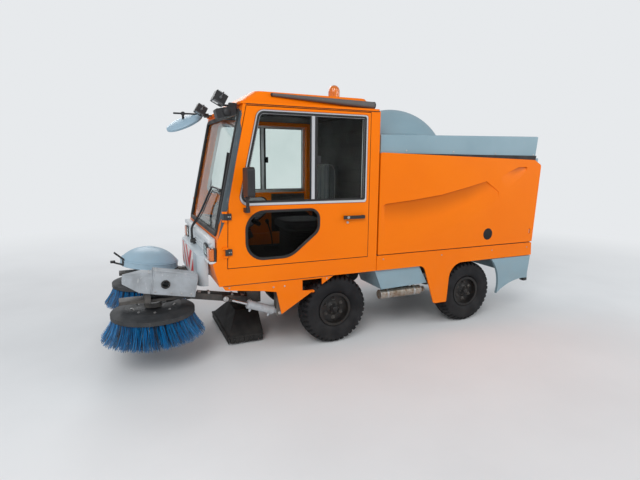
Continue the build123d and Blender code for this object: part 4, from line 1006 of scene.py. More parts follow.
MOUTH = Finish(
    "mouth_rubber", (0.010, 0.010, 0.011), (0.022, 0.021, 0.020), rough=0.7, patches=0.8, patch_scale=8.0,
    dust=0.07, scuffs=0.15, scuff_colour=(0.06, 0.05, 0.045), grain=Grain.MOULDED, gloss=0.3,
)
DISC = Finish(
    "disc_rubber", (0.016, 0.018, 0.021), (0.034, 0.037, 0.041), rough=0.6, patches=0.9, patch_scale=10.0,
    dust=0.08, scuffs=0.3, scuff_colour=(0.09, 0.09, 0.09), grain=Grain.MOULDED,
)
DUCT = Finish(
    "roof_duct_grey", (0.115, 0.105, 0.10), (0.085, 0.078, 0.076), rough=0.5, dust=0.1, scuffs=0.2,
    scuff_colour=(0.2, 0.19, 0.18), grain=Grain.MOULDED,
)
EXHAUST = Scorched(
    "scorched_tube", (0.42, 0.38, 0.33), (0.24, 0.185, 0.13), rough=0.42, metal=0.7, scuff_colour=RUST,
)


@dataclass
class Studio:
    """The floor, the backdrop colour, the lamps and the camera at the photograph's angle."""

    camera_at: tuple[float, float, float] = (1.7825, 3.84, 1.513)
    heading: float = -113.987
    dip: float = 9.969
    roll: float = 0.479
    lens: float = 24.975
    sensor: float = 36.0
    floor_size: float = 60.0
    floor_z: float = -0.0005
    fade: tuple[float, float] = (3.0, 8.0)
    backdrop: tuple[float, float, float] = (0.80, 0.82, 0.84)
    daylight: float = 0.47

    def build(self) -> None:
        """Builds the whole studio."""
        self.build_floor()
        self.build_sky()
        self.build_lamps()
        self.build_camera()

    def build_floor(self) -> None:
        """A wide flat grid, a hair under the wheels."""
        steps = np.linspace(-self.floor_size / 2, self.floor_size / 2, 3)
        x, y = np.meshgrid(steps, steps)
        sheet = skin(np.stack([x, y, np.full_like(x, self.floor_z)], -1), round_columns=False, capped=False)
        mesh = bpy.data.meshes.new("studio_floor")
        mesh.from_pydata(sheet.points.tolist(), [], sheet.faces[:, ::-1].tolist())
        floor = bpy.data.objects.new("studio_floor", mesh)
        bpy.context.scene.collection.objects.link(floor)
        g = Graph("studio_floor_pale")
        tint = g.blend(g.span(g.noise(1.2, 5.0), 0.35, 0.7), (0.80, 0.805, 0.81), (0.77, 0.775, 0.78))
        far = g.node("ShaderNodeVectorMath", operation="LENGTH")
        g.link(g.place, far.inputs[0])
        share = g.span(far.outputs["Value"], *self.fade)
        g.link(g.blend(share, tint, (0.0, 0.0, 0.0)), g.shader.inputs["Base Color"])
        g.link(g.blend(share, (0.0, 0.0, 0.0), self.backdrop), g.shader.inputs["Emission Color"])
        g.shader.inputs["Emission Strength"].default_value = 1.0
        g.shader.inputs["Roughness"].default_value = 0.9
        g.shader.inputs["Specular IOR Level"].default_value = 0.0
        mesh.materials.append(g.made)

    def build_sky(self) -> None:
        """Even pale light from all round, and a pale backdrop for the camera and for what is seen through
        glass.
        """
        world = bpy.data.worlds.new("studio_world")
        bpy.context.scene.world = world
        world.use_nodes = True
        tree = world.node_tree
        tree.nodes.clear()
        light, backdrop = tree.nodes.new("ShaderNodeBackground"), tree.nodes.new("ShaderNodeBackground")
        light.inputs[0].default_value, light.inputs[1].default_value = (0.90, 0.95, 1.0, 1.0), self.daylight
        backdrop.inputs[0].default_value, backdrop.inputs[1].default_value = (*self.backdrop, 1.0), 1.0
        path, mixer, output = (
            tree.nodes.new(f"ShaderNode{kind}") for kind in ("LightPath", "MixShader", "OutputWorld")
        )
        seen = tree.nodes.new("ShaderNodeMath")
        seen.operation = "MAXIMUM"
        tree.links.new(path.outputs["Is Camera Ray"], seen.inputs[0])
        tree.links.new(path.outputs["Is Transmission Ray"], seen.inputs[1])
        tree.links.new(seen.outputs[0], mixer.inputs[0])
        tree.links.new(light.outputs[0], mixer.inputs[1])
        tree.links.new(backdrop.outputs[0], mixer.inputs[2])
        tree.links.new(mixer.outputs[0], output.inputs[0])

    def build_lamps(self) -> None:
        """Three wide soft lamps: place, aim, size in metres and power in watts."""
        lamps = (
            ("key", (4.5, 6.5, 6.0), (0.0, 0.0, 0.8), 5.0, 375.0),
            ("fill", (-6.0, 4.0, 4.0), (-0.5, 0.0, 0.8), 5.0, 145.0),
            ("back", (1.0, -6.5, 5.5), (0.0, 0.0, 1.0), 5.0, 190.0),
        )
        for name, place, aim, size, power in lamps:
            data = bpy.data.lights.new(name, "AREA")
            data.shape, data.size, data.energy = "DISK", size, power
            lamp = bpy.data.objects.new(name, data)
            bpy.context.scene.collection.objects.link(lamp)
            lamp.matrix_world = self.aimed(np.array(place), unit(np.array(aim) - np.array(place)))

    def aimed(self, place: np.ndarray, look: np.ndarray) -> Matrix:
        """A placement whose own -Z looks one way.

        Args:
            place: where it stands.
            look: where it looks.

        Returns:
            The placement.
        """
        right = unit(np.cross(look, (0, 0, 1)))
        return self.placement(place, right, np.cross(right, look), look)

    def placement(self, place: np.ndarray, right: np.ndarray, up: np.ndarray, look: np.ndarray) -> Matrix:
        """A four by four placement from its directions.

        Args:
            place: the origin.
            right: its X.
            up: its Y.
            look: the opposite of its Z.

        Returns:
            The placement.
        """
        rows = np.eye(4)
        rows[:3, :] = np.stack([right, up, -look, place], 1)
        return Matrix(rows.tolist())

    def build_camera(self) -> None:
        """The camera, from its heading, its dip below the level and its roll."""
        heading, dip, roll = np.radians((self.heading, self.dip, self.roll))
        ahead = np.array((np.cos(heading), np.sin(heading), 0.0))
        flat_right = np.array((np.sin(heading), -np.cos(heading), 0.0))
        up = np.array((0.0, 0.0, 1.0))
        look = ahead * np.cos(dip) - up * np.sin(dip)
        down = -(up * np.cos(dip) + ahead * np.sin(dip))
        right = flat_right * np.cos(roll) - down * np.sin(roll)
        below = flat_right * np.sin(roll) + down * np.cos(roll)
        data = bpy.data.cameras.new("camera")
        data.lens, data.sensor_width = self.lens, self.sensor
        camera = bpy.data.objects.new("camera", data)
        bpy.context.scene.collection.objects.link(camera)
        camera.matrix_world = self.placement(np.array(self.camera_at), right, -below, look)
        bpy.context.scene.camera = camera
        bpy.context.scene.view_settings.view_transform = "Standard"


@dataclass
class Paintwork:
    """The finish of every CAD node."""

    orange: tuple[str, ...] = ("cab_shell", "cab_roof", "side_skirts", "door_left", "door_right")
    blue_grey: tuple[str, ...] = ("grey_panels", "hopper_lid", "tailgate")
    black: tuple[str, ...] = (
        "frame", "engine_block", "front_axle", "rear_axle", "knuckle_left", "knuckle_right", "tie_rod",
        "brush_arm_left", "brush_arm_right", "carrier_left", "carrier_right", "cross_beams", "brackets",
    )

    def build(self) -> None:
        """Gives each node its finish, and nodes in no list one by the start of their name."""
        for nodes, finish in ((self.orange, ORANGE), (self.blue_grey, BLUE_GREY), (self.black, CHASSIS)):
            for node in nodes:
                self.dress(node, finish)
        starts = (
            ("windscreen", GLASS), ("hopper_panels", PANEL), ("door_glass", DOOR_GLASS), ("roof_tube", DUCT),
            ("suction_mouth", MOUTH), ("window_frame", ALUMINIUM), ("door_fittings", PLASTIC),
            ("front_panel", PALE), ("lamps", AMBER), ("beacon", BEACON_LENS), ("roof_fittings", PLASTIC),
            ("brush_cover_left", COVER_LEFT), ("brush_cover_right", COVER_RIGHT), ("brush_disc", DISC),
            ("bristles", BRISTLE), ("lift_barrel", SILVER), ("lift_rod", CHROME), ("tip_barrels", SILVER),
            ("tip_rods", CHROME), ("silencer", EXHAUST), ("dashboard", DARK_GREY), ("seat_frame", CHASSIS),
            ("seat_pads", CLOTH), ("tyre", RUBBER), ("rim", RIM), ("hopper_tub", HOPPER_IN),
        )
        for start, finish in starts:
            for node in NODES:
                if node.startswith(start):
                    self.dress(node, finish)

    def dress(self, node: str, finish: Finish) -> None:
        """Gives one node a finish.

        Args:
            node: the node's name.
            finish: its finish.
        """
        slots = NODES[node].data.materials
        slots.clear()
        slots.append(finish.material())


@dataclass
class Wheels:
    """Tyres with a block tread, and what is bolted to the rims. Sizes in millimetres."""

    half_width: float = 87.0
    middle_radius: float = 215.0
    reach: float = 77.5
    lugs: int = 38
    lug_depth: float = 11.0
    steps_round: int = 456
    nuts: int = 6
    nut_circle: float = 82.0

    def build(self) -> None:
        """Builds the four wheels' tyres and fittings."""
        for tag, sign in WHEELS:
            centre = middle(f"tyre_{tag}")
            piece(
                f"tread_{tag}", self.tyre(centre, sign), f"wheel_{tag}", RUBBER, "tyre_rubber",
                (f"tyre_{tag}",), 30.0,
            )
            piece(
                f"wheel_nuts_{tag}", self.fittings(centre, sign), f"wheel_{tag}", WORN_STEEL, "rim_paint",
                crease=25.0,
            )
            piece(f"hub_cap_{tag}", self.hub(centre, sign), f"wheel_{tag}", RIM, "rim_paint")

    def tyre(self, centre: np.ndarray, sign: int) -> Shape:
        """The tyre: a superellipse turned round the axle.

        Between lugs, and along two zigzag grooves, it shrinks by the groove's depth.

        Args:
            centre: the wheel's centre.
            sign: 1 on the left, -1 on the right.

        Returns:
            The closed tyre.
        """
        lean = np.radians(
            np.concatenate([np.linspace(-62, 20, 12), np.linspace(24, 156, 34), np.linspace(160, 242, 12)])
        )
        turn = turns(self.steps_round)
        across = -np.sign(np.cos(lean)) * np.abs(np.cos(lean)) ** 0.55
        out = np.sign(np.sin(lean)) * np.abs(np.sin(lean)) ** 0.62
        on_tread = np.clip((out - 0.55) / 0.15, 0, 1)[:, None]
        phase = turn[None] * self.lugs + np.where(across[:, None] > 0, np.pi, 0) + 1.2 * across[:, None]
        between = np.clip((np.cos(phase) - 0.25) / 0.3, 0, 1)
        shoulder = np.clip((np.abs(across[:, None]) - 0.42) / 0.08, 0, 1)
        zigzag = 0.27 + 0.07 * np.clip(1.8 * np.sin(turn[None] * self.lugs / 2), -1, 1)
        groove = np.clip(1 - np.abs(np.abs(across[:, None]) - zigzag) / 0.06, 0, 1)
        depth = np.maximum(between * shoulder, np.minimum(groove * 2, 1))
        cut = self.lug_depth / self.reach * on_tread * depth
        low_rib = 0.012 * np.exp(-(((out[:, None] + 0.35) / 0.05) ** 2))
        high_rib = 0.010 * np.exp(-(((out[:, None] - 0.25) / 0.04) ** 2))
        ribs = low_rib + high_rib
        size = 1 - cut + ribs * (on_tread < 0.01) - 0.012
        size = np.minimum(size, 1.0)
        along = across[:, None] * self.half_width * size
        radius = self.middle_radius + out[:, None] * self.reach * np.where(
            on_tread > 0.5, np.minimum(size + 0.012, 1.0), size,
        )
        inner = np.full((4, 1), 131.0)
        along = np.concatenate(
            [along, np.array([[55.0], [20.0], [-20.0], [-55.0]]) * np.ones_like(turn)[None]]
        )
        radius = np.concatenate([radius, inner * np.ones_like(turn)[None]])
        rows = np.stack([radius * np.cos(turn), along * sign, radius * np.sin(turn)], -1) / 1000 + centre
        return skin(rows, round_rows=True)

    def fittings(self, centre: np.ndarray, sign: int) -> Shape:
        """Six nuts on their studs, a ring of hub bolts and the valve.

        Args:
            centre: the wheel's centre.
            sign: 1 on the left, -1 on the right.

        Returns:
            The small parts as one shape.
        """
        face = centre + np.array((0, sign * 0.0262, 0))
        nut = turned(
            ((0, 0.1), (0, 14), (11, 14), (14, 11), (14, 6), (22, 6), (23, 4)), face, (0, sign, 0), 6,
        )
        turn = turns(self.nuts) + np.pi / 6
        circle = self.nut_circle / 1000 * np.stack([np.cos(turn), 0 * turn, np.sin(turn)], 1)
        washer = turned(((0, 0.1), (0, 17), (3, 17), (4, 14)), face, (0, sign, 0), 20)
        bolt = turned(
            ((0, 0.1), (0, 6), (6, 6), (7, 4)), face + np.array((0, sign * 0.012, 0)), (0, sign, 0), 6,
        )
        small = 0.040 * np.stack([np.cos(turn + 0.5), 0 * turn, np.sin(turn + 0.5)], 1)
        stem = face + np.array((0.098, 0, 0.052))
        valve = turned(((-20, 3.5), (4, 3.5), (6, 5), (22, 5), (24, 3)), stem, (0.3, sign, 0.1), 10)
        return nut.scattered(circle).plus(washer.scattered(circle), bolt.scattered(small), valve)

    def hub(self, centre: np.ndarray, sign: int) -> Shape:
        """The domed grease cap with its rolled edge.

        Args:
            centre: the wheel's centre.
            sign: 1 on the left, -1 on the right.

        Returns:
            The cap.
        """
        face = centre + np.array((0, sign * 0.0515, 0))
        profile = ((0, 29), (1.5, 31), (4, 30), (5, 26), (16, 25), (22, 20), (25, 12), (26, 3))
        return turned(profile, face, (0, sign, 0), 28)


@dataclass
class SideBrush:
    """A brush's strands and the bolts on its disc. Sizes in millimetres."""

    strands: int = 5200
    tufts: int = 32
    root_z: float = 399.0
    tip_z: float = 227.0
    root_low: float = 205.0
    root_high: float = 284.0
    tip_reach: float = 366.0
    thickness: float = 1.6

    def build(self) -> None:
        """Builds both brushes."""
        for seed, (tag, _) in enumerate(SIDES, 11):
            centre = middle(f"brush_disc_{tag}")
            piece(
                f"strands_{tag}", self.tuft_ring(centre, seed), f"brush_{tag}", BRISTLE, "bristle_blue",
                (f"bristles_{tag}",), 60.0,
            )
            piece(f"disc_bolts_{tag}", self.bolts(centre), f"brush_{tag}", ZINC, "black_steel", crease=25.0)

    def tuft_ring(self, centre: np.ndarray, seed: int) -> Shape:
        """All strands at once, each leaving its root outwards and down.

        Its radius grows as the 1.4th power of the way down, and its tip wanders by a seeded chance.

        Args:
            centre: the disc's centre.
            seed: the seed of the chances.

        Returns:
            Three-sided strands, each open at its ends.
        """
        chance = np.random.default_rng(seed)
        count = self.strands // 1
        tuft = chance.integers(0, self.tufts, count)
        spread = chance.normal(0, 0.30, count)
        turn = (tuft + 0.5 + spread * 0.8) * 2 * np.pi / self.tufts
        root = chance.uniform(self.root_low, self.root_high, count)
        share = (root - self.root_low) / (self.root_high - self.root_low)
        tip = np.minimum(root + chance.normal(66, 16, count) + 14 * share, self.tip_reach)
        tip_turn = turn + chance.normal(0, 0.035, count) + 0.05
        low = np.maximum(self.tip_z + np.abs(chance.normal(0, 11, count)) + 9 * share, self.tip_z)
        way = np.linspace(0, 1, 5)[None]
        radius = root[:, None] + (tip - root)[:, None] * way**1.4
        angle = turn[:, None] + (tip_turn - turn)[:, None] * way
        height = self.root_z + (low[:, None] - self.root_z) * way
        spine = np.stack([radius * np.cos(angle), radius * np.sin(angle), height], -1) / 1000
        spine[..., :2] += centre[:2]
        corner = np.arange(3) * 2 * np.pi / 3
        outward = level(turn, 1.0)[:, None, None]
        sideways = np.stack([-np.sin(turn), np.cos(turn), 0 * turn], 1)[:, None, None]
        thick = self.thickness / 1000 * (1 - 0.35 * way)[..., None, None]
        rows = spine[:, :, None] + thick * (
            np.cos(corner)[None, None, :, None] * outward + np.sin(corner)[None, None, :, None] * sideways
        )
        i, j = np.meshgrid(np.arange(4), np.arange(3), indexing="ij")
        face = np.stack(
            [i * 3 + j, (i + 1) * 3 + j, (i + 1) * 3 + (j + 1) % 3, i * 3 + (j + 1) % 3], -1,
        ).reshape(-1, 4)
        faces = (face[None] + 15 * np.arange(count)[:, None, None]).reshape(-1, 4)
        shade = np.where(chance.random(count) < 0.34, 0.95, chance.uniform(0, 0.75, count))
        return Shape(rows.reshape(-1, 3), faces, np.repeat(shade, 15))

    def bolts(self, centre: np.ndarray) -> Shape:
        """Eight bolts round the disc's top.

        Args:
            centre: the disc's centre.

        Returns:
            The bolts.
        """
        top = np.array((centre[0], centre[1], 0.4425))
        head = turned(((-6, 0.1), (-6, 14), (1, 14), (1, 9), (8, 9), (9, 7)), top, (0, 0, 1), 6)
        turn = turns(8)
        return head.scattered(level(turn, 0.15))


@dataclass
class Cab:
    """What is fixed to the cab: seals, corner strips, wiper, trims and lining. Sizes in millimetres."""

    screen_low: tuple[float, float] = (978.0, 945.0)
    screen_top: tuple[float, float] = (769.0, 1907.0)
    glass_half: float = 612.0
    glass_half_height: float = 452.0
    body_half: float = 680.0

    def build(self) -> None:
        """Builds the cab's trim, outside and inside."""
        fixed(
            "chassis",
            ("screen_gasket", self.gasket(), SEAL, "black_plastic"),
            ("corner_strips", self.corner_strips().both(), SLATE, "grey_plastic"),
            ("wiper", self.wiper(), PLASTIC, "black_plastic"),
            ("front_trims", self.trims(), TRIM, "front_plastic"),
            ("stripe_plate", box_of((1090.0, -430, 592), (1094.0, 236, 790), 2), STRIPES, "front_plastic"),
            ("floor_mat", self.mat(), MAT, "black_plastic", (), 50.0),
            ("cab_lining", self.lining(), LINING, "black_plastic"),
        )

    def on_screen(self, points: object) -> np.ndarray:
        """Places on the sloping windscreen.

        Args:
            points: rows of millimetres left, up along the screen from its middle, and out of it.

        Returns:
            The places in metres.
        """
        low, top = np.array(self.screen_low), np.array(self.screen_top)
        centre, upward = (low + top) / 2, unit(top - low)
        left, up, out = np.asarray(points, float).T
        x = centre[0] + up * upward[0] + out * upward[1]
        z = centre[1] + up * upward[1] - out * upward[0]
        return at(np.stack([x, left, z], 1))

    def gasket(self) -> Shape:
        """The rubber round the windscreen: a rounded bar carried round the glass."""
        half, tall = self.glass_half, self.glass_half_height
        flat = rounded(((half, -tall), (half, tall), (-half, tall), (-half, -tall)), 30, 8)
        path = self.on_screen(np.column_stack([flat, np.full(len(flat), 1.0)]))
        return carried(path, bar(0.024, 0.036, 0.6), closed=True)

    def corner_strips(self) -> Shape:
        """The slate strip beside the windscreen, a shallow arch, with a corner bead and a side plate."""
        up = np.linspace(-372, 448, 34)
        outer = 677 - 44 * np.clip((-300 - up) / 72, 0, 1) ** 1.6
        inner = 631.0
        share = np.concatenate([np.linspace(0, 1, 9), np.linspace(1, 0, 9)])
        height = np.concatenate([1.2 + 6.5 * np.sin(np.pi * np.linspace(0, 1, 9)) ** 0.7, np.full(9, -1.5)])
        rows = [
            self.on_screen(np.column_stack([inner + (edge - inner) * share, np.full(18, v), height]))
            for v, edge in zip(up, outer)
        ]
        face = skin(np.stack(rows))
        corner = carried(
            self.on_screen(((677.2, -330, -1.6), (677.4, 60, -1.4), (677.2, 432, -1.6))), ring(0.0045, 10),
        )
        side = ((784, 1733), (791, 1797), (972, 961), (910, 1110), (895, 1190))
        return face.plus(corner, plate(side, self.body_half - 1, self.body_half + 1.6, 0.8))

    def wiper(self) -> Shape:
        """The wiper: spindle, cranked arm, its second rod, and the blade on the glass."""
        low = at(((1050, -60, 834), (1052, -57, 890), (1046, -46, 965)))
        high = self.on_screen(((30, -345, 36), (235, -140, 28), (330, -124, 24), (545, -126, 18)))
        path = smooth_path(np.concatenate([low, high]))
        arm = carried(path, ring(0.0085, 10), scale=np.linspace(1.3, 0.8, len(path)))
        twin = carried(
            smooth_path(np.concatenate([low[1:] + (0, 0.032, 0), high + (0, 0.006, -0.034)])),
            ring(0.004, 8),
        )
        up = np.linspace(-412, 150, 9)
        line = self.on_screen(
            np.column_stack([594 - 0.1 * (up + 412), up, 3 - 3 * np.sin(np.linspace(0, np.pi, 9))])
        )
        blade = carried(line, bar(0.008, 0.024, 0.5))
        spine = carried(line + 0.012 * np.array((0.977, 0, 0.212)), bar(0.014, 0.007, 0.5))
        spindle = turned(
            ((-30, 0.1), (-30, 26), (-8, 26), (0, 18), (14, 17), (18, 10), (18.5, 0.2)),
            at((1050, -60, 834)), (1, 0, 0), 24,
        )
        clip = box_of((905, 524, 1288), (934, 566, 1312), 5)
        return arm.plus(twin, blade, spine, spindle, clip)

    def trims(self) -> Shape:
        """The pale ledge under the windscreen, the lip under the lamps with its ends, posts and ribs."""
        ledge = box_of((980, -630, 918), (1036, 630, 956), 11)
        lip = box_of((1014, -634, 778), (1046, 634, 799), 8)
        ends = box_of((986, 630, 780), (1040, 678, 797), 6).both()
        posts = box_of((1018, 374, 796), (1030, 414, 920), 5).both()
        ribs = box_of((1020, -356, 826), (1027, 356, 834), 3).scattered(
            ((0, 0, 0), (0, 0, 0.024), (0, 0, 0.048))
        )
        return ledge.plus(lip, ends, posts, ribs)

    def mat(self) -> Shape:
        """The rubber mat, ribbed along the cab."""
        y = np.linspace(-590, 590, 240)
        wave = 655 + 1.6 * np.sign(np.sin(y / 590 * 60 * np.pi))
        rows = np.stack([at(np.column_stack([np.full_like(y, x), y, wave])) for x in (-300, 770)])
        return skin(rows, round_columns=False, capped=False).plus(
            box_of((-304, -594, 646.5), (774, 594, 653), 2)
        )

    def lining(self) -> Shape:
        """The rear wall's panel with its pressed ribs, and the headlining with the box under it."""
        wall = box_of((-309.8, -596, 647), (-301, 596, 1904), 3)
        ribs = box_of((-302, -520, 760), (-294, 520, 790), 6).scattered([(0, 0, 0.11 * k) for k in range(10)])
        ceiling = box_of((-309, -599, 1904), (722, 599, 1913.8), 4)
        tub = box_of((-40, -110, 1894), (420, 110, 1905), 5)
        return wall.plus(ribs, ceiling, tub)


@dataclass
class Doors:
    """Window rubbers, port rings, mirrors, locks and inner panels of the doors. Sizes in millimetres."""

    face: float = 680.0
    window: tuple = ((-235, 1195), (822, 1195), (667, 1878), (-235, 1878))
    window_radii: tuple = (18, 62, 62, 18)
    port: tuple = ((762, 790), (762, 1148), (182, 1152), (182, 985), (420, 792))
    port_radii: tuple = (130, 140, 75, 90, 190)
    door: tuple = ((-262, 740), (906, 740), (888, 1240), (744, 1899), (-262, 1899))
    mirror: tuple[float, float, float] = (748.0, 795.0, 1370.0)

    def build(self) -> None:
        """Builds both doors' trim and the seals in their frames."""
        sided(
            ("window_rubber", self.rubbers(), "door", SEAL, "black_plastic"),
            ("window_bead", self.bead(), "door", RED_BEAD, "black_plastic"),
            ("port_ring", self.port_ring(), "door", SEAL, "black_plastic"),
            ("mirror_face", self.mirror_face(), "door", MIRROR, "chromed_rod"),
            ("mirror_shell", self.mirror_shell(), "door", PLASTIC, "black_plastic"),
            ("door_lock", self.lock(), "door", ZINC, "black_plastic"),
            ("door_card", self.card(), "door", LINING, "black_plastic"),
            ("window_latch", self.latch(), "door", PLASTIC, "black_plastic"),
            ("hinge_screws", self.hinge_screws(), "door", ZINC, "black_plastic"),
        )
        piece("door_seals", self.seal().both(), "chassis", SEAL, "black_plastic")

    def rubbers(self) -> Shape:
        """The rubber that holds the panes: inside the frame and on both sides of the middle bar."""
        inner = ((-206, 1224), (786, 1224), (645, 1849), (-206, 1849))
        posts = box_of((214, 662, 1222), (222, 676, 1850), 2).plus(
            box_of((248, 662, 1222), (256, 676, 1850), 2)
        )
        sash = box_of((196, 664, 1226), (214, 678, 1846), 3)
        sheet = ((-215, 1222), (799, 1222), (653, 1860), (-215, 1860))
        flat = side_loop(sheet, (10, 44, 44, 10), self.face + 4.2, 17, 3)
        return side_loop(inner, (8, 36, 36, 8), self.face - 10, 9, 12).plus(posts, sash, flat)

    def bead(self) -> Shape:
        """The dark red bead between the frame and the door's skin."""
        return side_loop(self.window, self.window_radii, self.face + 0.8, 5.5, 4.5)

    def port_ring(self) -> Shape:
        """The thick rubber round the low window, with a lip on its outer edge."""
        ring_one = side_loop(self.port, self.port_radii, self.face - 1.5, 20, 12)
        return ring_one.plus(side_loop(self.port, self.port_radii, self.face + 4.5, 8, 5))

    def mirror_face(self) -> Shape:
        """The mirror's glass, a plate with round corners a hair behind the shell."""
        ahead, y, z = self.mirror
        flat = rounded(((-64, -94), (64, -94), (64, 94), (-64, 94)), 20, 6)
        rows = [
            facing(flat * s + (y, z), x) for x, s in ((ahead - 1, 1), (ahead - 2.6, 1), (ahead - 3.2, 0.97))
        ]
        return skin(np.stack(rows))

    def mirror_shell(self) -> Shape:
        """The lip round the mirror's glass, the ball joint and a collar below it."""
        ahead, y, z = self.mirror
        flat = rounded(((-71, -101), (71, -101), (71, 101), (-71, 101)), 25, 6)
        path = facing(flat + (y, z), ahead - 1.0)
        lip = carried(path, bar(0.008, 0.006, 0.5), closed=True)
        ball = turned(
            ((-14, 0.1), (-14, 12), (-6, 18), (4, 18), (12, 12), (13, 0.2)), at((765, 740, 1256)),
            (0, 0, 1), 20,
        )
        collar = turned(((0, 0.1), (0, 15), (9, 15), (11, 11)), at((765, 740, 1182)), (0, 0, 1), 20)
        return lip.plus(ball, collar)

    def lock(self) -> Shape:
        """The handle's push button and the lock barrel under it."""
        button = turned(
            ((-3, 0.1), (-3, 11), (5, 11), (7, 8), (7.5, 0.2)), at((-62, self.face + 30, 1077)), (0, 1, 0),
            24,
        )
        barrel = turned(
            ((-2, 0.1), (-2, 10), (4, 10), (6, 7), (4.5, 5), (4.5, 0.2)), at((-70, self.face, 1034)),
            (0, 1, 0), 24,
        )
        return button.plus(barrel)

    def card(self) -> Shape:
        """The panel inside the door behind the low window, with a pocket."""
        panel = plate(((-224, 778), (150, 778), (150, 1180), (-224, 1180)), 640.0, 645.2)
        return panel.plus(box_of((-200, 612, 800), (110, 642, 930), 12))

    def latch(self) -> Shape:
        """The sliding pane's latch and finger grip, inside and out."""
        return box_of((168, 668, 1500), (204, 682, 1560), 5).plus(
            box_of((180, 672, 1515), (196, 690, 1545), 4)
        )

    def hinge_screws(self) -> Shape:
        """Two screws on each hinge leaf."""
        places = at([(x, self.face + 12.5, z) for z in (860, 1120) for x in (882, 896)])
        return screws(places, (0, 1, 0), 4.5, 2.5)

    def seal(self) -> Shape:
        """The seal in the gap round a doorway, seated on the frame's side of the gap."""
        outline = np.array(self.door, float)
        centre = np.array((320.0, 1320.0))
        grown = outline + np.sign(outline - centre) * 4.2
        return side_loop(grown, 6, self.face - 9, 3.2, 12)


